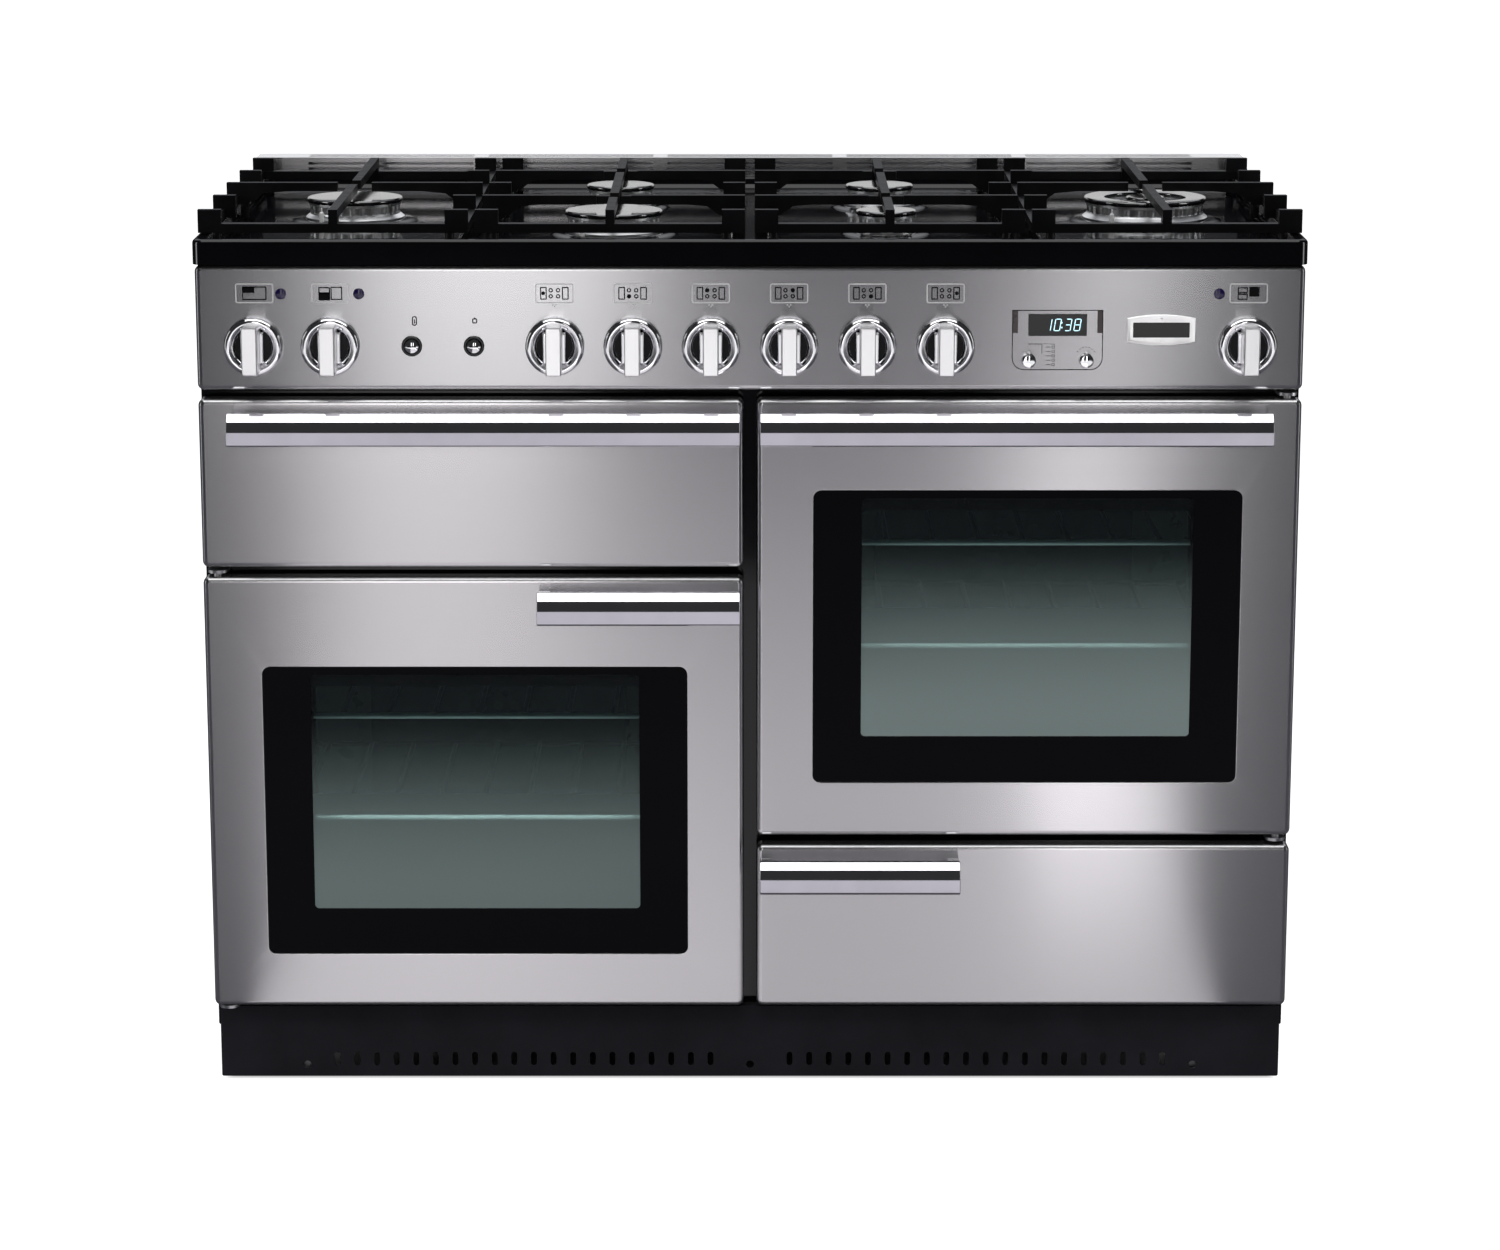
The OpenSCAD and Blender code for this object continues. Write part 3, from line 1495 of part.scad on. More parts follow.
// Switch bodies behind the grill knob and the two oven knobs
module oven_switches() {
    for (k = [0, 1, 8])
        difference() {
            slab(around(knob_x[k], switch_w), [front_y + sheet_t, front_y + spindle_in + 3],
                 around(panel_knob_z, switch_w));
            rod_y(knob_x[k], [front_y, front_y + spindle_in + 0.5], panel_knob_z, spindle_d + 2 * running);
        }
}

module knob_grill() {
    knob(knob_x[0]);
}

module knob_left_oven() {
    knob(knob_x[1]);
}

module knob_burner_1() {
    knob(knob_x[2]);
}

module knob_burner_2() {
    knob(knob_x[3]);
}

module knob_burner_3() {
    knob(knob_x[4]);
}

module knob_burner_4() {
    knob(knob_x[5]);
}

module knob_burner_5() {
    knob(knob_x[6]);
}

module knob_burner_6() {
    knob(knob_x[7]);
}

module knob_right_oven() {
    knob(knob_x[8]);
}

module clock_knob_left() {
    clock_knob(-1);
}

module clock_knob_right() {
    clock_knob(1);
}

side_panels();
rear_panel();
base_frame();
front_frame();
partition_panels();
plinth();
levelling_gear();
rear_rollers();
hob_tray();
flue_strip();
burner_heads();
burner_caps();
outer_pan_supports();
centre_pan_supports();
control_panel();
panel_fittings();
left_oven_liner();
right_oven_liner();
grill_liner();
insulation();
oven_racks();
rack_ladders();
elements_and_lamps();
fan_motors();
fan_covers();
left_fan();
right_fan();
gas_rail();
terminal_box();
door_hinges();
oven_seals();
fixed_runners();
left_door_skin();
left_door_glass();
left_door_liner();
left_door_handle();
right_door_skin();
right_door_glass();
right_door_liner();
right_door_handle();
grill_front();
grill_handle();
grill_carriage();
grill_pan();
drawer_front();
drawer_handle();
drawer_box();
knob_grill();
knob_left_oven();
knob_burner_1();
knob_burner_2();
knob_burner_3();
knob_burner_4();
knob_burner_5();
knob_burner_6();
knob_right_oven();
igniter_button();
light_button();
clock_knob_left();
clock_knob_right();
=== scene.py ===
import json
import math

import bmesh
import bpy
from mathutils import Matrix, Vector


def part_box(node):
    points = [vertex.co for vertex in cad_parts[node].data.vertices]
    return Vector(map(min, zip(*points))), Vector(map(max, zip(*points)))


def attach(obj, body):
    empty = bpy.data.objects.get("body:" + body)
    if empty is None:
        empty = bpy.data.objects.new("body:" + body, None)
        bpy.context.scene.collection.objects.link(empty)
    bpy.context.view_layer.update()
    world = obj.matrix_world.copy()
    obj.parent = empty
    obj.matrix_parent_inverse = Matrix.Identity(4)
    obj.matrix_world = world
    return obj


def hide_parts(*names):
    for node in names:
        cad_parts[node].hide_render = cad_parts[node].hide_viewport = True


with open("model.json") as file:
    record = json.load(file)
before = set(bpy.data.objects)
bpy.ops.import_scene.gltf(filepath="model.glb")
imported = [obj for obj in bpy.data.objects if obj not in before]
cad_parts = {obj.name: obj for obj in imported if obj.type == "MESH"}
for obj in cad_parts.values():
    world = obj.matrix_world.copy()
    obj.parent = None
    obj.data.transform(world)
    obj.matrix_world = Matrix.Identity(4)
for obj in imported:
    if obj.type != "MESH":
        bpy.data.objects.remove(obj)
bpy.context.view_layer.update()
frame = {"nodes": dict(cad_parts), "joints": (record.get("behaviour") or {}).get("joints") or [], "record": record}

MM = 0.001
NODES = frame["nodes"]
BODY_OF = {node: body for body, nodes in frame["record"]["behaviour"]["bodies"].items() for node in nodes}
SLOT_OF = {part["node"]: part["material_slot"] for part in frame["record"]["subparts"]}

# Places that several sections use, in metres
FRONT_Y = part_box("control_panel")[0].y
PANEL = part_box("control_panel")
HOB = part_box("hob_tray")
KNOB_Z = 765 * MM


# Materials

def new_material(name, color, metallic=0.0, roughness=0.5, **sockets):
    """A Principled material with constants set on the shader's own sockets."""
    mat = bpy.data.materials.new(name)
    mat.use_nodes = True
    shader = mat.node_tree.nodes["Principled BSDF"]
    shader.inputs["Base Color"].default_value = (*color, 1)
    shader.inputs["Metallic"].default_value = metallic
    shader.inputs["Roughness"].default_value = roughness
    for socket, value in sockets.items():
        shader.inputs[socket.replace("_", " ")].default_value = value
    mat.diffuse_color = (*color, 1)
    return mat


def noise(mat, scale=(1, 1, 1), detail=3.0, size=100.0, roughness=0.55):
    """A noise texture in object coordinates, stretched by scale; returns its value socket."""
    nodes, links = mat.node_tree.nodes, mat.node_tree.links
    coord = nodes.new("ShaderNodeTexCoord")
    mapping = nodes.new("ShaderNodeMapping")
    mapping.inputs["Scale"].default_value = scale
    texture = nodes.new("ShaderNodeTexNoise")
    texture.inputs["Scale"].default_value = size
    texture.inputs["Detail"].default_value = detail
    texture.inputs["Roughness"].default_value = roughness
    links.new(coord.outputs["Object"], mapping.inputs["Vector"])
    links.new(mapping.outputs["Vector"], texture.inputs["Vector"])
    return texture.outputs["Fac"]


def map_range(nodes, links, value, reach, result=(0.0, 1.0), smooth=False):
    """Maps the reach (start, end) of a value to the result (low, high); returns the output socket."""
    node = nodes.new("ShaderNodeMapRange")
    if smooth:
        node.interpolation_type = "SMOOTHSTEP"
    for socket, number in zip(("From Min", "From Max", "To Min", "To Max"), (*reach, *result)):
        node.inputs[socket].default_value = number
    links.new(value, node.inputs["Value"])
    return node.outputs["Result"]


def vary(mat, value, socket, low, high, start=0.3, end=0.7):
    """Drives a number or colour of the shader from a noise value, between low and high."""
    nodes, links = mat.node_tree.nodes, mat.node_tree.links
    shader = nodes["Principled BSDF"]
    if isinstance(low, tuple):
        ramp = nodes.new("ShaderNodeValToRGB")
        for stop, position, color in zip(ramp.color_ramp.elements, (start, end), (low, high)):
            stop.position = position
            stop.color = (*color, 1)
        links.new(value, ramp.inputs["Fac"])
        links.new(ramp.outputs["Color"], shader.inputs[socket])
    else:
        links.new(map_range(nodes, links, value, (start, end), (low, high)), shader.inputs[socket])


def bump(mat, value, strength, distance):
    nodes, links = mat.node_tree.nodes, mat.node_tree.links
    node = nodes.new("ShaderNodeBump")
    node.inputs["Strength"].default_value = strength
    node.inputs["Distance"].default_value = distance
    links.new(value, node.inputs["Height"])
    links.new(node.outputs["Normal"], nodes["Principled BSDF"].inputs["Normal"])


def tangent(mat, axis):
    """Highlights of the brushed metal stretch at right angles to its brush lines."""
    nodes, links = mat.node_tree.nodes, mat.node_tree.links
    node = nodes.new("ShaderNodeTangent")
    node.direction_type = "RADIAL"
    node.axis = axis
    links.new(node.outputs["Tangent"], nodes["Principled BSDF"].inputs["Tangent"])


def brushed(name, color, roughness=0.3):
    """Stainless steel brushed along X."""
    mat = new_material(name, color, 1.0, roughness, Anisotropic=0.9)
    lines = noise(mat, (2.5, 2.5, 420), 5.0, 9.0, 0.7)
    vary(mat, lines, "Base Color", tuple(c * 0.98 for c in color), tuple(min(1.0, c * 1.02) for c in color))
    vary(mat, noise(mat, (2, 2, 330), 4.0, 8.0), "Roughness", roughness - 0.01, roughness + 0.015)
    bump(mat, lines, 0.0015, 0.0002)
    tangent(mat, "X")
    return mat


def coated(name, color, roughness, grain=0.0, grain_size=900.0, **sockets):
    """Paint, enamel or plastic: a faint cloudiness in the colour and the gloss, and a fine grain."""
    mat = new_material(name, color, 0.0, roughness, **sockets)
    cloud = noise(mat, (1, 1, 1), 4.0, 14.0)
    vary(mat, cloud, "Base Color", tuple(c * 0.8 for c in color), tuple(min(1, c * 1.25) for c in color))
    vary(mat, noise(mat, (1, 1, 1), 3.0, 45.0), "Roughness", roughness * 0.85, roughness * 1.2)
    bump(mat, noise(mat, (1, 1, 1), 2.0, grain_size), grain, 0.0003)
    return mat


def metal(name, color, roughness, grain=0.03, grain_size=300.0, metallic=1.0):
    mat = new_material(name, color, metallic, roughness)
    vary(mat, noise(mat, (1, 1, 1), 3.0, 60.0), "Roughness", roughness * 0.8, roughness * 1.3)
    vary(mat, noise(mat, (1, 1, 1), 4.0, 12.0), "Base Color", tuple(c * 0.92 for c in color),
         tuple(min(1, c * 1.06) for c in color))
    bump(mat, noise(mat, (1, 1, 1), 2.0, grain_size), grain, 0.0002)
    return mat


def speckled_enamel(name, color, speck):
    """Oven enamel: dark, glossy, with fine light specks."""
    mat = coated(name, color, 0.22, 0.05, 250.0)
    specks = noise(mat, (1, 1, 1), 1.0, 700.0)
    vary(mat, specks, "Base Color", color, speck, 0.66, 0.72)
    return mat


def along_axis(mat, axis, start, end):
    """A value that goes from 0 to 1 between two places on an axis of the object."""
    nodes, links = mat.node_tree.nodes, mat.node_tree.links
    coord = nodes.new("ShaderNodeTexCoord")
    split = nodes.new("ShaderNodeSeparateXYZ")
    links.new(coord.outputs["Object"], split.inputs["Vector"])
    return map_range(nodes, links, split.outputs[axis], (start, end), smooth=True)


def shaded_enamel(name, node, color, low_color):
    """Oven enamel, black high up and lighter towards the oven's floor, where the light falls."""
    lo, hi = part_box(node)
    mat = coated(name, color, 0.3, 0.03, 250.0)
    rise = 0.1 * (hi.z - lo.z)
    vary(mat, along_axis(mat, "Z", hi.z - rise, lo.z + rise), "Base Color", color, low_color, 0.0, 1.0)
    return mat


def clear_glass(name, color):
    mat = new_material(name, color, 0.0, 0.0, Transmission_Weight=1.0, IOR=1.45)
    vary(mat, noise(mat, (1, 1, 1), 2.0, 25.0), "Roughness", 0.0, 0.012)
    return mat


def glass_painted_light(name, color, low_z, high_z, painted_light):
    """Oven glass that is clear at its upper edge and painted pale towards its lower edge: painted light that
    stands in for the oven's floor, lit through the glass.
    """
    mat = clear_glass(name, color)
    height = high_z - low_z
    rise = along_axis(mat, "Z", low_z + 0.05 * height, high_z - 0.16 * height)
    # Painted light: the glass's pale colour shows more towards the lower edge, where the transmission is cut back.
    vary(mat, rise, "Transmission Weight", 1.0 - painted_light, 1.0, 0.0, 1.0)
    return mat


def wool(name, color):
    mat = new_material(name, color, 0.0, 0.95)
    fibres = noise(mat, (1, 1, 4), 8.0, 120.0, 0.8)
    vary(mat, fibres, "Base Color", tuple(c * 0.6 for c in color), tuple(min(1, c * 1.2) for c in color))
    bump(mat, fibres, 0.8, 0.003)
    return mat


MATERIALS = {
    "black_sheet": coated("black_sheet", (0.042, 0.04, 0.05), 0.42, 0.08, 1400.0),
    "zinc_sheet": metal("zinc_sheet", (0.55, 0.56, 0.58), 0.4, 0.06, 80.0, 0.6),
    "black_enamel": coated("black_enamel", (0.003, 0.003, 0.004), 0.08, 0.01, 90.0, IOR=1.45),
    "dark_enamel": speckled_enamel("dark_enamel", (0.03, 0.035, 0.037), (0.12, 0.13, 0.14)),
    "steel_parts": metal("steel_parts", (0.45, 0.46, 0.47), 0.35),
    "fan_metal": metal("fan_metal", (0.66, 0.67, 0.68), 0.34, 0.15, 500.0),
    "roller_rubber": coated("roller_rubber", (0.02, 0.02, 0.02), 0.75, 0.3, 700.0),
    "seal": coated("seal", (0.012, 0.012, 0.012), 0.7, 0.4, 900.0),
    "brushed_steel": brushed("brushed_steel", (0.6, 0.6, 0.61), 0.22),
    "chrome": metal("chrome", (0.86, 0.86, 0.88), 0.07, 0.0),
    "cast_iron": coated("cast_iron", (0.005, 0.005, 0.006), 0.38, 0.3, 650.0, IOR=1.38),
    "cap_enamel": coated("cap_enamel", (0.006, 0.006, 0.007), 0.12, 0.05, 200.0, IOR=2.2),
    "panel_plastic": coated("panel_plastic", (0.006, 0.006, 0.008), 0.16, 0.02, 300.0),
    "blanket": wool("blanket", (0.72, 0.62, 0.33)),
    "brass": metal("brass", (0.7, 0.5, 0.2), 0.3),
    "door_glass": clear_glass("door_glass", (0.78, 0.9, 0.88)),
}
RIM_BLACK = coated("rim_black", (0.003, 0.003, 0.004), 0.05, 0.0, 300.0)
LEVER_SATIN = new_material("lever_satin", (0.94, 0.94, 0.95), 0.8, 0.3)
vary(LEVER_SATIN, noise(LEVER_SATIN, (1, 1, 1), 2.0, 9.0), "Roughness", 0.28, 0.32)
# Painted shade: near black with little gloss, for the fans, fan covers and rack ladders inside the ovens.
FAN_PAINTED_SHADE = coated("fan_dark", (0.01, 0.01, 0.011), 0.6, 0.1, 300.0, IOR=1.2)
COVER_PAINTED_SHADE = coated("cover_dark", (0.003, 0.0035, 0.004), 0.6, 0.03, 300.0, IOR=1.15)
# Painted shade on the racks: only the front wire of each rack keeps a light grey, and the wires behind it are
# painted nearly black.
RACK_WIRE_PAINTED_SHADE = new_material("rack_wire", (0.7, 0.73, 0.72), 0.0, 0.4, IOR=1.15)
RACK_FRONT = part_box("oven_racks")[0].y
vary(RACK_WIRE_PAINTED_SHADE, along_axis(RACK_WIRE_PAINTED_SHADE, "Y", RACK_FRONT + 5 * MM, RACK_FRONT + 9 * MM), "Base Color",
     (0.42, 0.42, 0.44), (0.003, 0.003, 0.003), 0.0, 1.0)
DISC_DARK = coated("disc_dark", (0.006, 0.006, 0.008), 0.2, 0.02, 500.0, IOR=1.2)
PRINT_BLACK = coated("print_black", (0.005, 0.005, 0.006), 0.6, 0.0, IOR=1.15)
PRINT_WHITE = coated("print_white", (0.9, 0.9, 0.91), 0.4, 0.0)
LAMP_VIOLET = coated("lamp_violet", (0.012, 0.006, 0.06), 0.1, 0.0)
HANDLE_METAL = metal("handle_metal", (0.9, 0.89, 0.92), 0.09, 0.0)


# Mesh tools

def mesh_object(name, bm):
    """An object with the faces of a bmesh, all turned outward."""
    mesh = bpy.data.meshes.new(name)
    bmesh.ops.recalc_face_normals(bm, faces=bm.faces)
    bm.to_mesh(mesh)
    bm.free()
    obj = bpy.data.objects.new(name, mesh)
    bpy.context.scene.collection.objects.link(obj)
    return obj


def smooth_faces(mesh, angle):
    for face in mesh.polygons:
        face.use_smooth = True
    mesh.set_sharp_from_angle(angle=math.radians(angle))


def place(name, bm, mat, body, nodes, smooth=35, bevel=0.0):
    """Makes an object from a bmesh, gives it its material, and lets it ride on a body."""
    obj = mesh_object(name, bm)
    smooth_faces(obj.data, smooth)
    obj.data.materials.append(mat)
    if bevel:
        soften(obj, bevel)
    even_normals(obj)
    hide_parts(*nodes)
    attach(obj, body)
    return obj


def even_normals(obj):
    """Large flat faces keep their own normal, so that shading turns only within the round edges."""
    step = obj.modifiers.new("even", "WEIGHTED_NORMAL")
    step.keep_sharp = True
    step.weight = 100


def soften(obj, width):
    edge = obj.modifiers.new("edge", "BEVEL")
    edge.width = width
    edge.segments = 2
    edge.limit_method = "ANGLE"
    edge.angle_limit = math.radians(40)
    edge.use_clamp_overlap = True


def in_mm(*points):
    """Points given in millimetres, as a list of points in metres."""
    return [tuple(value * MM for value in point) for point in points]


def round_loop(cx, cz, w, h, r, steps=6):
    """Points of a rectangle with round corners, in the X-Z plane, as (x, z)."""
    r = min(r, w / 2, h / 2)
    points = []
    for sx, sz, start in ((1, 1, 0), (-1, 1, 90), (-1, -1, 180), (1, -1, 270)):
        for k in range(steps + 1):
            a = math.radians(start + 90 * k / steps)
            points.append((cx + sx * (w / 2 - r) + r * math.cos(a), cz + sz * (h / 2 - r) + r * math.sin(a)))
    return points


def loft(bm, loops, cap_first=True, cap_last=True):
    """Skins a list of loops that all have the same number of points."""
    rings = [[bm.verts.new(p) for p in loop] for loop in loops]
    n = len(rings[0])
    for a, b in zip(rings, rings[1:]):
        for i in range(n):
            bm.faces.new((a[i], a[(i + 1) % n], b[(i + 1) % n], b[i]))
    if cap_first:
        bm.faces.new(rings[0])
    if cap_last:
        bm.faces.new(rings[-1])
    return rings


def close(bm, rings):
    """Joins the last ring to the first one."""
    n = len(rings[0])
    for i in range(n):
        bm.faces.new((rings[-1][i], rings[-1][(i + 1) % n], rings[0][(i + 1) % n], rings[0][i]))


def at_depth(points, y):
    return [(x, y, z) for x, z in points]


def block(bm, x, y, z):
    loft(bm, [[(x[0], y[0], z[0]), (x[1], y[0], z[0]), (x[1], y[1], z[0]), (x[0], y[1], z[0])],
              [(x[0], y[0], z[1]), (x[1], y[0], z[1]), (x[1], y[1], z[1]), (x[0], y[1], z[1])]])


def lathe(bm, profile, centre, axis="-Y", steps=48, caps=True):
    """Turns a profile of (radius, height) about an axis through centre. Caps close both ends."""
    cx, cy, cz = centre
    loops = []
    for r, h in profile:
        loop = []
        for k in range(steps):
            a = 2 * math.pi * k / steps
            if axis == "-Y":
                loop.append((cx + r * math.cos(a), cy - h, cz + r * math.sin(a)))
            else:
                loop.append((cx + r * math.cos(a), cy + r * math.sin(a), cz + h))
        loops.append(loop)
    return loft(bm, loops, caps, caps)


def arc(cr, ch, r, start, end, steps):
    """Points of an arc in a lathe profile."""
    angles = [math.radians(start + (end - start) * k / steps) for k in range(steps + 1)]
    return [(cr + r * math.cos(a), ch + r * math.sin(a)) for a in angles]


# CAD nodes that keep their shape

# Looks for the oven insides: painted shade makes the fans, fan covers, rack ladders and the racks behind their
# front wires near black, and painted light makes the liners lighter towards the oven's floor.
OVEN_INSIDE_PAINTED = {
    "left_fan": FAN_PAINTED_SHADE,
    "right_fan": FAN_PAINTED_SHADE,
    "fan_covers": COVER_PAINTED_SHADE,
    "oven_racks": RACK_WIRE_PAINTED_SHADE,
    "rack_ladders": COVER_PAINTED_SHADE,
}
LINER_BLACK, LINER_LIT = (0.004, 0.0045, 0.005), (0.02, 0.025, 0.024)
for oven_side in ("left", "right"):
    liner = oven_side + "_oven_liner"
    OVEN_INSIDE_PAINTED[liner] = shaded_enamel(oven_side + "_enamel", liner, LINER_BLACK, LINER_LIT)
for node, obj in NODES.items():
    obj.data.materials.clear()
    obj.data.materials.append(OVEN_INSIDE_PAINTED.get(node) or MATERIALS[SLOT_OF[node]])


# Mesh tools for pieces of several materials

class Maker:
    """Collects parts in one mesh. paint() gives its material to what was added since the last call."""

    def __init__(self):
        self.bm = bmesh.new()
        self.mats = []
        self.done = 0

    def paint(self, mat):
        if mat not in self.mats:
            self.mats.append(mat)
        self.bm.faces.ensure_lookup_table()
        for face in self.bm.faces[self.done:]:
            face.material_index = self.mats.index(mat)
        self.done = len(self.bm.faces)

    def place(self, name, body, nodes, slot, smooth=35, bevel=0.0):
        obj = place(name, self.bm, self.mats[0], body, nodes, smooth, bevel)
        for mat in self.mats[1:]:
            obj.data.materials.append(mat)
        return obj


def ring_of(bm, outer, inner, y0, y1):
    """A flat ring between two loops of points, with thickness from y0 to y1."""
    rings = loft(bm, [at_depth(outer, y1), at_depth(outer, y0), at_depth(inner, y0), at_depth(inner, y1)],
                 False, False)
    close(bm, rings)


def plate_of(bm, loop, y0, y1):
    loft(bm, [at_depth(loop, y0), at_depth(loop, y1)])


def carve(obj, cutters, operation="DIFFERENCE"):
    """Cuts the cutters' shapes out of obj, or adds them to it, and keeps the result in its mesh."""
    for cutter in cutters:
        step = obj.modifiers.new("carve", "BOOLEAN")
        step.operation = operation
        step.object = cutter
        step.solver = "EXACT"
    shaped = bpy.data.meshes.new_from_object(obj.evaluated_get(bpy.context.evaluated_depsgraph_get()))
    obj.modifiers.clear()
    obj.data = shaped
    for cutter in cutters:
        bpy.data.objects.remove(cutter)


def crisp(obj, angle):
    smooth_faces(obj.data, angle)
    even_normals(obj)


# Fronts, doors and handles

SHEET = 2 * MM
EDGE_R = 5.5 * MM          # round front edge of the pressed fronts
CORNER_R = 6.5 * MM
FLANGE = 34 * MM
LIP = 0.8 * MM             # small turn at the edge of a sheet
GLASS_R = 8 * MM           # corners of the glass and of the hole for it


def shell_loops(lo, hi, flange):
    """Loops of a pressed steel pan: round front edge, side walls and the flange folded in at its back."""
    cx, cz, w, h = (lo.x + hi.x) / 2, (lo.z + hi.z) / 2, hi.x - lo.x, hi.z - lo.z

    def loop(inset, y):
        r = max(CORNER_R - inset, 0.4 * MM)
        return at_depth(round_loop(cx, cz, w - 2 * inset, h - 2 * inset, r), y)

    loops = []
    for k in range(7):
        a = math.radians(15 * k)
        loops.append(loop(EDGE_R * (1 - math.sin(a)), lo.y + EDGE_R * (1 - math.cos(a))))
    loops += [loop(0, hi.y - LIP), loop(LIP, hi.y), loop(flange, hi.y), loop(flange, hi.y - SHEET),
              loop(SHEET, hi.y - SHEET), loop(SHEET, lo.y + EDGE_R), loop(EDGE_R + SHEET / 2, lo.y + SHEET)]
    return loops


def place_steel(name, bm, node):
    return place(name, bm, MATERIALS["brushed_steel"], BODY_OF[node], [node], 30)


def pressed_front(node, window=None):
    """Outer skin of a front. window is (centre x, centre z, width, height) of the hole for the glass."""
    lo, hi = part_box(node)
    bm = bmesh.new()
    loops = shell_loops(lo, hi, FLANGE)
    if window:
        cx, cz, w, h = window
        turn = LIP * 0.6
        rings = [at_depth(round_loop(cx, cz, w, h, GLASS_R), lo.y + SHEET),
                 at_depth(round_loop(cx, cz, w, h, GLASS_R), lo.y + LIP),
                 at_depth(round_loop(cx, cz, w + turn, h + turn, GLASS_R), lo.y + LIP * 0.3),
                 at_depth(round_loop(cx, cz, w + 2 * LIP, h + 2 * LIP, GLASS_R + LIP), lo.y)]
        close(bm, loft(bm, rings + loops, False, False))
    else:
        loft(bm, loops)
    return place_steel(node + "_pressed", bm, node)


def drill_hinge_bores(obj, node):
    """Holes for the hinge pins in the upper and lower edge of a door skin."""
    lo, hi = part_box(node)
    pivot = next(j for j in frame["joints"] if j["child"] == BODY_OF[node])["pos_m"]
    bm = bmesh.new()
    for z in (lo.z, hi.z):
        lathe(bm, in_mm((4.15, -8), (4.15, 8)), (pivot[0], pivot[1], z), "Z", 24)
    carve(obj, [mesh_object("cutter", bm)])
    crisp(obj, 30)


GLASS_W, GLASS_H, GLASS_LIFT = 427 * MM, 300 * MM, 56 * MM
WINDOW_SIDE, WINDOW_LOW, WINDOW_HIGH, WINDOW_R = 48 * MM, 48 * MM, 8 * MM, 4 * MM


def door(side, painted_light):
    """Skin and both glasses of a door. The second argument is how much painted light the outer glass shows towards
    its lower edge, standing in for the lit oven floor behind it.
    """
    skin, glass = side + "_door_skin", side + "_door_glass"
    lo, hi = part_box(skin)
    cx, cz = (lo.x + hi.x) / 2, lo.z + GLASS_LIFT + GLASS_H / 2
    slack = 0.3 * MM
    obj = pressed_front(skin, (cx, cz, GLASS_W + 2 * slack, GLASS_H + 2 * slack))
    drill_hinge_bores(obj, skin)
    # Outer glass: a black printed rim round the clear window; then the inner glass
    body = BODY_OF[glass]
    y0 = lo.y + 0.5 * MM
    win_z = cz + (WINDOW_LOW - WINDOW_HIGH) / 2
    win = (cx, win_z, GLASS_W - 2 * WINDOW_SIDE, GLASS_H - WINDOW_LOW - WINDOW_HIGH)
    rim = bmesh.new()
    ring_of(rim, round_loop(cx, cz, GLASS_W, GLASS_H, GLASS_R), round_loop(*win, WINDOW_R), y0, y0 + 4 * MM)
    place(side + "_glass_rim", rim, RIM_BLACK, body, [glass], 30, 0.5 * MM)
    pane = bmesh.new()
    plate_of(pane, round_loop(*win, WINDOW_R), y0 + 0.1 * MM, y0 + 3.9 * MM)
    low_z, high_z = win_z - win[3] / 2, win_z + win[3] / 2
    # The pane's pale colour grows towards its lower edge: painted light of the lit oven floor behind it.
    pane_painted_light = glass_painted_light(side + "_hazed_glass", (0.74, 0.92, 0.88), low_z, high_z, painted_light)
    place(side + "_glass_pane", pane, pane_painted_light, body, [glass])
    inner = bmesh.new()
    y1 = lo.y + 28 * MM - SHEET
    inner_loop = round_loop(cx, cz, win[2] + 20 * MM, GLASS_H - 30 * MM, WINDOW_R)
    plate_of(inner, inner_loop, y1 - 3 * MM, y1)
    place(side + "_inner_glass", inner, MATERIALS["door_glass"], body, [glass])


def handle(node):
    """A bar with a sloping top, a round shoulder and a flat front, on a post at each end."""
    lo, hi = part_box(node)
    bar_d, low_r, post = 16 * MM, 3 * MM, 12 * MM
    # Each step of the section goes 1 mm down; its slope is the angle between its face and the upright
    slopes = [46, 45, 45, 44, 44, 43, 42, 30, 27, 25, 23, 21, 18, 15, 12, 9, 6, 3]
    drop = 0.0
    section = [(0.0, 0.0)]
    for slope in reversed(slopes):
        drop += math.tan(math.radians(slope)) * MM
        section.append((drop, len(section) * MM))
    top = len(slopes) * MM
    outline = [(lo.y + bar_d, hi.z)]
    outline += [(lo.y + py, hi.z - top + pz) for py, pz in reversed(section)]
    outline += [(lo.y + low_r - low_r * math.cos(a), lo.z + low_r - low_r * math.sin(a))
                for a in [math.pi / 2 * k / 5 for k in range(6)]]
    outline.append((lo.y + bar_d, lo.z))
    made = Maker()
    loft(made.bm, [[(x, y, z) for y, z in outline] for x in (lo.x, hi.x)])
    for x in ((lo.x, lo.x + post), (hi.x - post, hi.x)):
        block(made.bm, x, (lo.y + bar_d - 1 * MM, hi.y), (lo.z + 3 * MM, hi.z - 5 * MM))
    made.paint(HANDLE_METAL)
    return made.place(node + "_bar", BODY_OF[node], [node], "chrome", 30, 0.6 * MM)


pressed_front("grill_front")
pressed_front("drawer_front")
door("left", 0.67)
door("right", 0.86)
for handle_node in ("grill_handle", "left_door_handle", "right_door_handle", "drawer_handle"):
    handle(handle_node)


# Control panel

KNOBS = ["knob_grill", "knob_left_oven"] + ["knob_burner_%d" % i for i in range(1, 7)] + ["knob_right_oven"]
CLOCK_KNOBS = ("clock_knob_left", "clock_knob_right")
OVEN_SIGNS = {"knob_grill": ("grill", 2 * MM), "knob_left_oven": ("left", 1 * MM),
              "knob_right_oven": ("right", 0)}
CLOCK_X, CLOCK_TOP = 304 * MM, 801 * MM
DISPLAY_Z = CLOCK_TOP - 15 * MM
BADGE_X, BADGE_Z = 406.5 * MM, 781 * MM
LAMP_X, LAMP_Z = (-463 * MM, -386 * MM, 463 * MM), 817 * MM
BUTTON_X = [sum(v.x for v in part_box(button)) / 2 for button in ("igniter_button", "light_button")]
SYMBOL_Z = 817.5 * MM
PRINT_LINE, PRINT_LIFT, PRINT_SINK = 1.1 * MM, 0.25 * MM, 0.1 * MM


def middle(node):
    lo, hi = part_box(node)
    return (lo.x + hi.x) / 2, (lo.z + hi.z) / 2


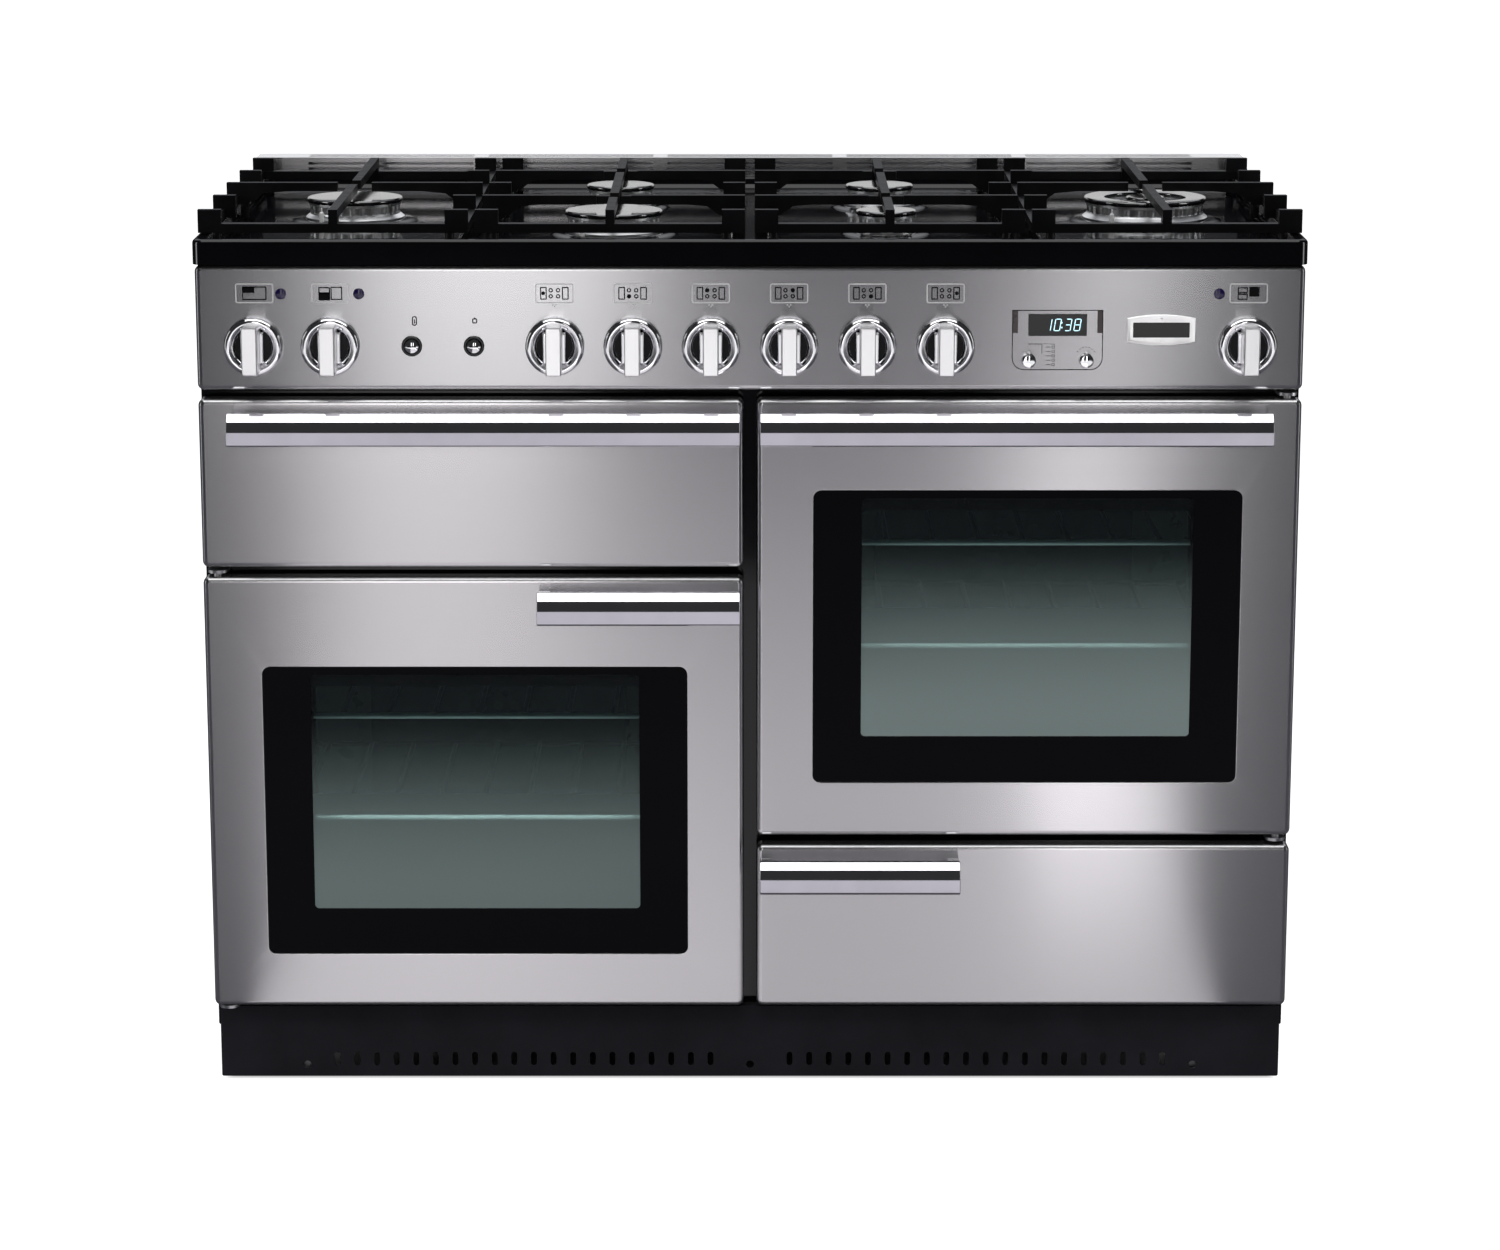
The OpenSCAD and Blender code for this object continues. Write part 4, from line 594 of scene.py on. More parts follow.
def control_panel():
    lo, hi = PANEL
    bm = bmesh.new()
    loft(bm, shell_loops(lo, hi, 12 * MM))
    obj = place_steel("panel_pressed", bm, "control_panel")
    holes = bmesh.new()
    through = 3 * SHEET
    bores = [(middle(node)[0], KNOB_Z, 6 * MM) for node in KNOBS] + [(x, KNOB_Z, 9 * MM) for x in BUTTON_X]
    bores += [(x, LAMP_Z, 4.5 * MM) for x in LAMP_X] + [(*middle(node), 3 * MM) for node in CLOCK_KNOBS]
    for x, z, r in bores:
        lathe(holes, [(r, -through), (r, through)], (x, lo.y, z), "-Y", 24)
    display = round_loop(CLOCK_X, DISPLAY_Z, 58 * MM, 22 * MM, 0.5 * MM)
    plate_of(holes, display, lo.y - through, lo.y + through)
    carve(obj, [mesh_object("cutter", holes)])
    crisp(obj, 30)


def knob(node):
    """Chrome ring with a sunk dark disc, a stepped grip and a bright lever, on its spindle."""
    x, _ = middle(node)
    centre = (x, FRONT_Y, KNOB_Z)
    made = Maker()
    ring = in_mm((4, -44), (4, 1.5), (25, 1.5), *arc(24.5, 6, 4.5, -70, 100, 12),
                 (21.5, 9.6), (19.4, 7.6), (18.4, 5), (0.3, 4.6))
    lathe(made.bm, ring, centre, "-Y", 64)
    made.paint(MATERIALS["chrome"])
    lathe(made.bm, in_mm((0.3, 4.6), (18.2, 4.8), (18.2, 5.4), (0.3, 5.6)), centre)
    made.paint(DISC_DARK)
    # Shoulders beside the lever
    for s in (-1, 1):
        xs = sorted((x + s * 7 * MM, x + s * 11.2 * MM))
        grip_block(made.bm, xs, 31 * MM, 5 * MM, 17 * MM)
    made.paint(MATERIALS["chrome"])
    grip_block(made.bm, (x - 7.5 * MM, x + 7.5 * MM), 48 * MM, 5 * MM, 42 * MM)
    made.paint(LEVER_SATIN)
    made.place(node + "_turned", BODY_OF[node], [node], "chrome", 30, 0.7 * MM)


def grip_block(bm, xs, length, h0, h1):
    """A block on a knob with rounded ends to its front face."""
    r = 2.0 * MM
    loops = []
    for h, inset in ((h0, 0), (h1 - r, 0), (h1 - 0.4 * r, 0.3 * r), (h1, r)):
        width = xs[1] - xs[0] - inset * 0.8
        loop = round_loop((xs[0] + xs[1]) / 2, KNOB_Z, width, length - 2 * inset, 1.2 * MM, 4)
        loops.append(at_depth(loop, FRONT_Y - h))
    loft(bm, loops)


def push_button(node, x):
    centre = (x, FRONT_Y, KNOB_Z)
    made = Maker()
    dome = in_mm((3, -20), (3, -1), (6.7, -1), (7, 2.6))
    for k in range(8):
        a = 0.49 - 0.06 * k
        dome.append((14 * MM * math.sin(a), 14 * MM * math.cos(a) - 8.5 * MM))
    dome.append((0.2 * MM, 5.5 * MM))
    lathe(made.bm, dome, centre, "-Y", 40)
    made.paint(MATERIALS["chrome"])
    plate_of(made.bm, round_loop(x, KNOB_Z, 9 * MM, 1.3 * MM, 0.6 * MM), FRONT_Y - 5.5 * MM, FRONT_Y - 3 * MM)
    made.paint(PRINT_BLACK)
    made.place(node + "_dome", BODY_OF[node], [node], "chrome", 40)


def clock_knob(node):
    x, z = middle(node)
    made = Maker()
    profile = in_mm((2, -14), (2, 1), (6.6, 1), (7, 1.4), (7, 7.6), (6.2, 9.4), (5, 10), (0.2, 10))
    lathe(made.bm, profile, (x, FRONT_Y, z), "-Y", 40)
    made.paint(MATERIALS["chrome"])
    mark = round_loop(x + 1.5 * MM, z + 2.6 * MM, 1.4 * MM, 4 * MM, 0.6 * MM)
    plate_of(made.bm, mark, FRONT_Y - 10.1 * MM, FRONT_Y - 9 * MM)
    made.paint(PRINT_BLACK)
    made.place(node + "_turned", BODY_OF[node], [node], "chrome", 35)


def outline_box(bm, cx, cz, w, h, line, r=0.6 * MM, lift=PRINT_LIFT):
    """A thin printed frame on the panel."""
    inner = round_loop(cx, cz, w - 2 * line, h - 2 * line, max(r - line, 0.1 * MM), 3)
    ring_of(bm, round_loop(cx, cz, w, h, r, 3), inner, FRONT_Y - lift, FRONT_Y + PRINT_SINK)


def filled_box(bm, cx, cz, w, h, r=0.2 * MM, lift=PRINT_LIFT):
    plate_of(bm, round_loop(cx, cz, w, h, r, 3), FRONT_Y - lift, FRONT_Y + PRINT_SINK)


def burner_symbol(made, cx, number):
    """Six burners in plan: two tall fields, four rings between them, a dot for the knob's own burner."""
    z = SYMBOL_Z
    places = in_mm((-11, 0), (-3.6, -3), (-3.6, 3), (3.6, 3), (3.6, -3), (11, 0))
    for s in (-1, 1):
        outline_box(made.bm, cx + s * 10.8 * MM, z, 6.6 * MM, 12.6 * MM, PRINT_LINE, 0.8 * MM)
    for dx, dz in places[1:5]:
        outline_box(made.bm, cx + dx, z + dz, 4.4 * MM, 4.4 * MM, PRINT_LINE, 2.2 * MM)
    dx, dz = places[number - 1]
    filled_box(made.bm, cx + dx, z + dz, 3.8 * MM, 3.8 * MM, 1.9 * MM, 0.3 * MM)
    made.paint(PRINT_BLACK)
    # Small pointer under the plate
    for s in (-1, 1):
        filled_box(made.bm, cx + s * 1.5 * MM, z - 11.6 * MM, 1.6 * MM, 1.0 * MM)
    filled_box(made.bm, cx, z - 13.2 * MM, 1.2 * MM, 1.4 * MM)
    made.paint(PRINT_WHITE)


def oven_symbol(made, cx, kind):
    """The cooker's front in plan, with the compartment that the knob works filled in."""
    z, left_x = SYMBOL_Z, cx - 6 * MM
    if kind == "grill":
        outline_box(made.bm, cx, z, 24 * MM, 13.5 * MM, PRINT_LINE)
        filled_box(made.bm, left_x, z + 3.4 * MM, 12 * MM, 6 * MM)
    elif kind == "left":
        outline_box(made.bm, left_x, z + 2.6 * MM, 11.5 * MM, 7 * MM, PRINT_LINE)
        filled_box(made.bm, left_x, z - 3 * MM, 11.5 * MM, 8 * MM)
        outline_box(made.bm, cx + 6 * MM, z, 11.5 * MM, 13 * MM, PRINT_LINE)
    else:
        for dz in (3 * MM, -3.4 * MM):
            outline_box(made.bm, left_x, z + dz, 10 * MM, 6 * MM, PRINT_LINE)
        filled_box(made.bm, cx + 5.5 * MM, z + 1.6 * MM, 10 * MM, 9.6 * MM)
    made.paint(PRINT_BLACK)


def segment_digit(bm, x, z, w, h, lit):
    """A seven-segment digit that leans a little. lit names its segments."""
    line, lean, y = 0.7 * MM, 0.16, FRONT_Y - 1.25 * MM
    half = line / 2
    bars = {"a": (0, h, 1, h), "d": (0, 0, 1, 0), "g": (0, h / 2, 1, h / 2),
            "f": (0, h / 2, 0, h), "b": (1, h / 2, 1, h), "e": (0, 0, 0, h / 2), "c": (1, 0, 1, h / 2)}
    for name in lit:
        ax, az, bx, bz = bars[name]
        ax, bx = ax * w, bx * w
        if az == bz:
            corners = [(ax + line, az - half), (bx - line, az - half),
                       (bx - line, az + half), (ax + line, az + half)]
        else:
            corners = [(ax - half, az + line * 0.4), (ax + half, az + line * 0.4),
                       (ax + half, bz - line * 0.4), (ax - half, bz - line * 0.4)]
        loft(bm, [[(x + px + lean * pz, yy, z + pz) for px, pz in corners] for yy in (y, y + 0.2 * MM)])


def clock(made):
    """Display with generic numbers, the line round the clock, its dark bars and the small printed scale."""
    digits = {"0": "abcdef", "1": "bc", "3": "abcdg", "8": "abcdefg"}
    filled = round_loop(CLOCK_X, DISPLAY_Z, 57.4 * MM, 21.4 * MM, 0.8 * MM)
    plate_of(made.bm, filled, FRONT_Y - 1 * MM, FRONT_Y + 3 * MM)
    block(made.bm, (CLOCK_X - 41 * MM, CLOCK_X + 41 * MM), (FRONT_Y + SHEET, FRONT_Y + SHEET + 18 * MM),
          (CLOCK_TOP - 62 * MM, CLOCK_TOP))
    made.paint(RIM_BLACK)
    for s in (-1, 1):
        filled_box(made.bm, CLOCK_X + s * 42 * MM, CLOCK_TOP - 11.5 * MM, 5.6 * MM, 23 * MM)
    made.paint(BAR_BROWN)
    # Line round the clock: straight at the top, round at its lower corners
    w, h, line, r = 90 * MM, 60 * MM, 0.8 * MM, 12 * MM
    outer = u_loop(CLOCK_X, CLOCK_TOP, w, h, r)
    inner = u_loop(CLOCK_X, CLOCK_TOP - line, w - 2 * line, h - 2 * line, r - line)
    ring_of(made.bm, outer, inner, FRONT_Y - PRINT_LIFT, FRONT_Y + PRINT_SINK)
    for k in range(5):
        dash_x, dash_z = CLOCK_X - (12.5 - 2.3 * k) * MM, CLOCK_TOP - (33.5 + 0.2 * k) * MM
        filled_box(made.bm, dash_x, dash_z, 1.2 * MM, 0.5 * MM)
        row_z = CLOCK_TOP - (37 + 4.4 * k) * MM
        filled_box(made.bm, CLOCK_X - 9 * MM, row_z, 4.2 * MM, 0.5 * MM)
        outline_box(made.bm, CLOCK_X - 4 * MM, row_z, 3 * MM, 2.6 * MM, 0.4 * MM)
    filled_box(made.bm, CLOCK_X - 22 * MM, CLOCK_TOP - 34 * MM, 14 * MM, 0.5 * MM)
    filled_box(made.bm, CLOCK_X - 15.2 * MM, CLOCK_TOP - 39 * MM, 0.5 * MM, 9 * MM)
    for k in range(7):
        a = math.radians(40 + 100 * k / 6)
        mark_x = CLOCK_X + 28.5 * MM + 11 * MM * math.cos(a)
        mark_z = CLOCK_TOP - 50 * MM + 13 * MM * math.sin(a)
        filled_box(made.bm, mark_x, mark_z, 1.6 * MM, 0.5 * MM)
    made.paint(PRINT_BLACK)
    for digit, dx in zip("1038", (-13, -3.8, 6.6, 15.8)):
        segment_digit(made.bm, CLOCK_X + dx * MM, CLOCK_TOP - 20.5 * MM, 5.6 * MM, 11.5 * MM, digits[digit])
    for dz in (-17.4, -12.6):
        plate_of(made.bm, round_loop(CLOCK_X + 4.1 * MM, CLOCK_TOP + dz * MM, 1 * MM, 1.4 * MM, 0.3 * MM, 2),
                 FRONT_Y - 1.25 * MM, FRONT_Y - 1.05 * MM)
    made.paint(DISPLAY_CYAN)


def u_loop(cx, top, w, h, r):
    """A box with sharp upper and round lower corners."""
    points = []
    for sx, start, sharp in ((1, 0, True), (-1, 90, True), (-1, 180, False), (1, 270, False)):
        for k in range(9):
            rr = 0.8 * MM if sharp else r
            a = math.radians(start + 90 * k / 8)
            zc = top - rr if sharp else top - h + rr
            points.append((cx + sx * (w / 2 - rr) + rr * math.cos(a), zc + rr * math.sin(a)))
    return points


def panel_fittings():
    """Clock, symbols, lamps, button rings, the bare plate, and the switches behind the panel."""
    made = Maker()
    for x in BUTTON_X:
        ring = in_mm((3.06, -20), (8.7, -20), (8.7, 0), (10.25, 0.2), (10.25, 1.6), (9.4, 2.5), (8.2, 2.5),
                     (7.3, 1.6), (7.3, -5), (3.06, -5))
        lathe(made.bm, ring, (x, FRONT_Y, KNOB_Z), "-Y", 40)
    made.paint(RIM_BLACK)
    clock(made)
    for x in LAMP_X:
        lens = in_mm((4.2, -12), (4.2, 0), (5.5, 0), (5.5, 0.7), (4.9, 1.5), (3, 2), (0.2, 2))
        lathe(made.bm, lens, (x, FRONT_Y, LAMP_Z), "-Y", 32)
    made.paint(LAMP_VIOLET)
    for node in OVEN_SIGNS:
        x, half = middle(node)[0], 20 * MM
        deep = (FRONT_Y + SHEET, FRONT_Y + 47 * MM)
        block(made.bm, (x - half, x + half), deep, (KNOB_Z - half, KNOB_Z + half))
    made.paint(PRINT_WHITE)
    # Bare plate with its sunk dark field and two small screws
    badge_w, badge_h = 68 * MM, 31 * MM
    loops = []
    for inset, lift in ((0, 0), (0, 0.9), (0.6, 1.5), (2.2, 1.5), (3.6, 0.8)):
        loop = bulged_loop(BADGE_X, BADGE_Z, badge_w - 2 * inset * MM, badge_h - 2 * inset * MM)
        loops.append(at_depth(loop, FRONT_Y - lift * MM))
    loft(made.bm, loops)
    screw = in_mm((1.4, 0.5), (1.4, 1.3), (0.9, 1.5), (0.1, 1.5))
    for s in (-1, 1):
        lathe(made.bm, screw, (BADGE_X, FRONT_Y, BADGE_Z + s * 11 * MM), "-Y", 16)
    made.paint(BADGE_METAL)
    field = round_loop(BADGE_X, BADGE_Z, 56 * MM, 15 * MM, 0.8 * MM)
    plate_of(made.bm, field, FRONT_Y - 1.0 * MM, FRONT_Y - 0.6 * MM)
    made.paint(RIM_BLACK)
    # Plates of the symbols: a light raised frame
    for node in KNOBS:
        x, shift = middle(node)[0], OVEN_SIGNS.get(node, ("", 0))[1]
        outline_box(made.bm, x + shift, SYMBOL_Z, 37.5 * MM, 19.5 * MM, 1.0 * MM, 2.2 * MM, 0.6 * MM)
    made.paint(PRINT_WHITE)
    for node, (kind, shift) in OVEN_SIGNS.items():
        oven_symbol(made, middle(node)[0] + shift, kind)
    for number in range(1, 7):
        burner_symbol(made, middle("knob_burner_%d" % number)[0], number)
    # Spark and lamp signs over the push buttons
    outline_box(made.bm, BUTTON_X[0] + 3 * MM, KNOB_Z + 25 * MM, 5 * MM, 9.5 * MM, PRINT_LINE, 2.2 * MM)
    filled_box(made.bm, BUTTON_X[0] + 3 * MM, KNOB_Z + 24.5 * MM, 1 * MM, 4.4 * MM)
    outline_box(made.bm, BUTTON_X[1] + 1 * MM, KNOB_Z + 25 * MM, 5 * MM, 5 * MM, PRINT_LINE, 1.2 * MM)
    filled_box(made.bm, BUTTON_X[1] + 1 * MM, KNOB_Z + 28 * MM, 2 * MM, 0.6 * MM)
    made.paint(PRINT_BLACK)
    made.place("panel_fittings_dressed", BODY_OF["panel_fittings"], ["panel_fittings"], "panel_plastic", 35)


def bulged_loop(cx, cz, w, h, steps=10):
    """A plate with straight sides and a bulge in its upper and lower edge."""
    bulge = h * 0.12
    points = []
    for side in (1, -1):
        for k in range(steps + 1):
            t = 1 - 2 * k / steps
            points.append((cx + side * t * w / 2, cz + side * (h / 2 - bulge + bulge * (1 - t * t))))
    return points


BAR_BROWN = coated("bar_brown", (0.05, 0.035, 0.035), 0.3, 0.0)
DISPLAY_CYAN = new_material("display_cyan", (0.4, 0.8, 0.9), 0.0, 0.4, Emission_Color=(0.6, 0.9, 1.0, 1),
                            Emission_Strength=1.6)
BADGE_METAL = metal("badge_metal", (0.95, 0.95, 0.95), 0.32, 0.02)

control_panel()
for knob_node in KNOBS:
    knob(knob_node)
for button_node, button_x in zip(("igniter_button", "light_button"), BUTTON_X):
    push_button(button_node, button_x)
for small_node in CLOCK_KNOBS:
    clock_knob(small_node)
panel_fittings()


# Hob

TRAY_Z = 859 * MM
HOB_MID_Y = (HOB[0].y + HOB[1].y) / 2
OUTER_X, INNER_X, BURNER_DY = 414 * MM, 139 * MM, 115 * MM
LARGE_CAP, MIDDLE_CAP, SMALL_CAP, WOK_CAP = 100 * MM, 73 * MM, 62 * MM, 128 * MM
PORTS = {LARGE_CAP: 32, MIDDLE_CAP: 24, SMALL_CAP: 18}
BURNERS = [(-OUTER_X, 0, LARGE_CAP), (-INNER_X, -BURNER_DY, LARGE_CAP), (-INNER_X, BURNER_DY, MIDDLE_CAP),
           (INNER_X, BURNER_DY, MIDDLE_CAP), (INNER_X, -BURNER_DY, SMALL_CAP), (OUTER_X, 0, WOK_CAP)]
CROWN_TOP = 876 * MM


def flat_loop(cx, cy, w, h, r, z, steps=6):
    return [(x, y, z) for x, y in round_loop(cx, cy, w, h, r, steps)]


def hob_tray():
    """Rim with round edges over a skirt, and a sunk floor with a shallow well under each pan support."""
    lo, hi = HOB
    w, d = hi.x - lo.x, hi.y - lo.y

    def ring(inset, r, z):
        return flat_loop(0, HOB_MID_Y, w - 2 * inset, d - 2 * inset, r, z)

    bm = bmesh.new()
    loops = [ring(2 * MM, 10 * MM, TRAY_Z - 6 * MM), ring(2 * MM, 10 * MM, lo.z), ring(0, 12 * MM, lo.z)]
    edge, bend = 4.5 * MM, 4 * MM
    for k in range(7):
        a = math.radians(15 * k)
        inset = edge * (1 - math.cos(a))
        loops.append(ring(inset, 12 * MM - inset, hi.z - edge + edge * math.sin(a)))
    for k in range(7):
        a = math.radians(15 * k)
        loops.append(ring(9 * MM + bend * math.sin(a), 9 * MM, hi.z - bend + bend * math.cos(a)))
    for k in range(6):
        a = math.radians(18 * k)
        loops.append(ring(14 * MM + bend * math.sin(a), 8 * MM, TRAY_Z + bend - bend * math.sin(a)))
    loft(bm, loops)
    obj = place("hob_tray_pressed", bm, MATERIALS["black_enamel"], BODY_OF["hob_tray"], ["hob_tray"])
    wells = bmesh.new()
    well_w, well_d = 246 * MM, 500 * MM
    for x in (-OUTER_X, -INNER_X, INNER_X, OUTER_X):
        rings = []
        for grow, z in ((3, TRAY_Z + 2 * MM), (0, TRAY_Z), (-2.5, TRAY_Z - 2.2 * MM), (-6, TRAY_Z - 3 * MM)):
            rings.append(flat_loop(x, HOB_MID_Y, well_w + 2 * grow * MM, well_d + 2 * grow * MM, 34 * MM, z))
        loft(wells, rings)
    carve(obj, [mesh_object("cutter", wells)])
    bosses = bmesh.new()
    for x, dy, cap in BURNERS:
        r = cap / 2
        boss = [(r + 20 * MM, -4 * MM), (r + 12 * MM, -1 * MM), (r + 8 * MM, 0.02 * MM)]
        boss += in_mm((0.1, 0.02))
        lathe(bosses, boss, (x, HOB_MID_Y + dy, TRAY_Z), "Z", 64)
    carve(obj, [mesh_object("cutter", bosses)], "UNION")
    cups = bmesh.new()
    for x, dy, _ in BURNERS:
        lathe(cups, in_mm((17.3, -10), (17.3, 5)), (x, HOB_MID_Y + dy, TRAY_Z), "Z", 32)
    carve(obj, [mesh_object("cutter", cups)])
    crisp(obj, 35)


def ribbed_loop(cx, cy, r, depth, ports, z):
    """A circle with a slot at each gas port."""
    points = []
    for k in range(ports * 4):
        a = 2 * math.pi * k / (ports * 4)
        rr = r - (depth if k % 4 in (2, 3) else 0)
        points.append((cx + rr * math.cos(a), cy + rr * math.sin(a), z))
    return points


def crown_side(cap, foot):
    """Outer side of a crown, in millimetres beyond its radius: the foot, then the ports and the collar."""
    r = (cap - 7 * MM) / 2
    steps = foot + [(0, 0, 6.5), (0, 1.6, 6.8), (0.4, 1.8, 13.8), (1.6, 0, 14.4), (1.6, 0, 17)]
    return [(r + out * MM, depth * MM, z * MM) for out, depth, z in steps]


def crown(bm, x, y, steps, ports):
    """A crown from its steps of (radius, depth of the slots, height)."""
    loft(bm, [ribbed_loop(x, y, r, depth, ports, TRAY_Z + z) for r, depth, z in steps])


def burner_heads():
    made = Maker()
    for x, dy, cap in BURNERS:
        y = HOB_MID_Y + dy
        lathe(made.bm, in_mm((6.1, -22), (16.8, -22), (17, -0.5), (6.1, -0.5)), (x, y, TRAY_Z), "Z", 32)
        if cap == WOK_CAP:
            wok_crown(made.bm, x, y, cap)
        else:
            side = crown_side(cap, [(5, 0, 0), (5, 0, 1.5), (2, 0, 4), (0.5, 0, 5)])
            crown(made.bm, x, y, side, PORTS[cap])
    made.paint(MATERIALS["fan_metal"])
    electrode = in_mm((2.6, 0), (2.6, 9), (2, 10), (1, 10.5), (0.8, 14.5), (0.1, 15))
    a = math.radians(235)
    for x, dy, cap in BURNERS:
        reach = cap / 2 + 4 * MM
        at = (x + reach * math.cos(a), HOB_MID_Y + dy + reach * math.sin(a), TRAY_Z)
        lathe(made.bm, electrode, at, "Z", 16)
    made.paint(PRINT_WHITE)
    made.place("burner_heads_cast", BODY_OF["burner_heads"], ["burner_heads"], "fan_metal", 35)


def wok_crown(bm, x, y, cap):
    """Ring crown with ports outside and inside, and the small crown in its middle."""
    inside = in_mm((44, 0, 17), (44, 0, 14.4), (44, -1.6, 13.8), (44, -1.6, 6.8), (43, 0, 6),
                   (22, 0, 3.5), (22, 0, 0))
    crown(bm, x, y, crown_side(cap, [(5, 0, 0), (5, 0, 1.5), (1, 0, 4.5)]) + inside, 36)
    hub = in_mm((20, 0, 0.5), (19, 0, 5), (17, 0, 7), (17, 1.6, 7.3), (17, 1.6, 14), (18, 0, 14.5),
                (18, 0, 17))
    crown(bm, x, y, hub, 12)


def burner_caps():
    made = Maker()
    for x, dy, cap in BURNERS:
        centre = (x, HOB_MID_Y + dy, CROWN_TOP)
        r = cap / 2
        if cap == WOK_CAP:
            ring = [(43 * MM, 0.05 * MM), (r - 0.6 * MM, 0.05 * MM)]
            ring += in_mm(*arc(r / MM - 2, 3, 2, -40, 90, 8), (45, 5), (42.6, 4), (42, 2), (42.4, 0.3))
            close(made.bm, lathe(made.bm, ring, centre, "Z", 96, False))
            small = in_mm((0.1, 0.05), (19, 0.05), *arc(18, 3, 2, -30, 90, 6), (0.1, 5))
            lathe(made.bm, small, centre, "Z")
        else:
            rim = [(0.1 * MM, 0.05 * MM), (r - 0.6 * MM, 0.05 * MM)]
            rim += in_mm(*arc(r / MM - 2, 2.7, 2, -40, 80, 8))
            rim += [(r - 4 * MM, 4.85 * MM), (r * 0.5, 5 * MM), (0.1 * MM, 5 * MM)]
            lathe(made.bm, rim, centre, "Z", 72)
    made.paint(MATERIALS["cap_enamel"])
    made.place("burner_caps_enamelled", BODY_OF["burner_caps"], ["burner_caps"], "cap_enamel", 40)


hob_tray()
burner_heads()
burner_caps()

# Edges of castings and folded sheet are never sharp
for soft_node, width in (("outer_pan_supports", 1.4), ("centre_pan_supports", 1.4), ("flue_strip", 0.8),
                         ("plinth", 0.5), ("side_panels", 0.5), ("rear_panel", 0.4), ("terminal_box", 1.0),
                         ("fan_motors", 0.8)):
    soften(NODES[soft_node], width * MM)


# Camera, light and floor

def make_camera():
    lens_px, frame_px, sensor_mm, tilt_down = 4214.0, 1500.0, 36, 12.42
    cam = bpy.data.objects.new("camera", bpy.data.cameras.new("camera"))
    bpy.context.scene.collection.objects.link(cam)
    cam.data.sensor_width = sensor_mm
    cam.data.lens = lens_px * sensor_mm / frame_px
    cam.data.clip_end = 100
    cam.location = (0, -4.413, 1.392)
    cam.rotation_euler = (math.radians(90 - tilt_down), 0, 0)
    bpy.context.scene.camera = cam


def area_light(name, place_at, aim, size, power, color=(1, 1, 1)):
    data = bpy.data.lights.new(name, "AREA")
    data.shape = "RECTANGLE"
    data.size, data.size_y = size
    data.energy = power
    data.color = color
    lamp = bpy.data.objects.new(name, data)
    bpy.context.scene.collection.objects.link(lamp)
    lamp.location = place_at
    lamp.rotation_euler = (Vector(aim) - Vector(place_at)).to_track_quat("-Z", "Y").to_euler()
    return lamp


def floor_lamp(name, x, y, size, power, color=(1, 1, 1)):
    """An area light that lies just over the floor and shines up."""
    lamp_z, aim_z = 0.012, 1
    return area_light(name, (x, y, lamp_z), (x, y, aim_z), size, power, color)


def upright_strip(name, x, aim_x, width, power, color):
    """A tall light behind the camera, which makes a band in the steel."""
    return area_light(name, (x, -6.0, 1.6), (aim_x, 0, 0.5), (width, 3.2), power, color)


def link_lights(lamps, objects, name, state):
    """INCLUDE: the lamps light these objects alone. EXCLUDE: they light everything but these objects."""
    group = bpy.data.collections.new(name)
    for obj in objects:
        group.objects.link(obj)
    for entry in group.collection_objects:
        entry.light_linking.link_state = state
    for lamp in lamps:
        lamp.visible_camera = False
        lamp.light_linking.receiver_collection = group


def mix_by_camera(nodes, links, seen, unseen, output):
    """The studio shows white to the camera, and something darker to what it lights."""
    path = nodes.new("ShaderNodeLightPath")
    mix = nodes.new("ShaderNodeMixShader")
    links.new(path.outputs["Is Camera Ray"], mix.inputs["Fac"])
    links.new(unseen, mix.inputs[1])
    links.new(seen, mix.inputs[2])
    links.new(mix.outputs["Shader"], output)


def make_world():
    world = bpy.data.worlds.new("studio")
    bpy.context.scene.world = world
    world.use_nodes = True
    nodes, links = world.node_tree.nodes, world.node_tree.links
    back = nodes["Background"]
    back.inputs["Color"].default_value = (1, 1, 1, 1)
    back.inputs["Strength"].default_value = 1.0
    # Bright overhead and behind the cooker, black on the camera's side
    coord = nodes.new("ShaderNodeTexCoord")
    toward = nodes.new("ShaderNodeVectorMath")
    toward.operation = "DOT_PRODUCT"
    toward.inputs[1].default_value = (0.0, 0.6, 0.8)
    links.new(coord.outputs["Generated"], toward.inputs[0])
    spread = map_range(nodes, links, toward.outputs["Value"], (0.68, 0.97), (0.03, 1.0), True)
    studio = nodes.new("ShaderNodeBackground")
    studio.inputs["Color"].default_value = (0.93, 0.95, 1.0, 1)
    links.new(spread, studio.inputs["Strength"])
    mix_by_camera(nodes, links, back.outputs["Background"], studio.outputs["Background"],
                  nodes["World Output"].inputs["Surface"])


def math_node(nodes, links, operation, value, other):
    """Works on a value and another, which is a number or the output of a node."""
    node = nodes.new("ShaderNodeMath")
    node.operation = operation
    links.new(value, node.inputs[0])
    if isinstance(other, float):
        node.inputs[1].default_value = other
    else:
        links.new(other, node.inputs[1])
    return node.outputs["Value"]


def beyond_cooker(nodes, links):
    """Glow of the floor: none under the cooker, full a little way round it."""
    coord = nodes.new("ShaderNodeTexCoord")
    split = nodes.new("ShaderNodeSeparateXYZ")
    links.new(coord.outputs["Object"], split.inputs["Vector"])
    reach = []
    for axis, middle_at, half in (("X", 0.0, 0.525), ("Y", 0.034, 0.285)):
        away = math_node(nodes, links, "SUBTRACT", split.outputs[axis], middle_at)
        size = math_node(nodes, links, "ABSOLUTE", away, 0.0)
        reach.append(math_node(nodes, links, "SUBTRACT", size, half))
    far = math_node(nodes, links, "MAXIMUM", *reach)
    return map_range(nodes, links, far, (0.0, 0.02), smooth=True)


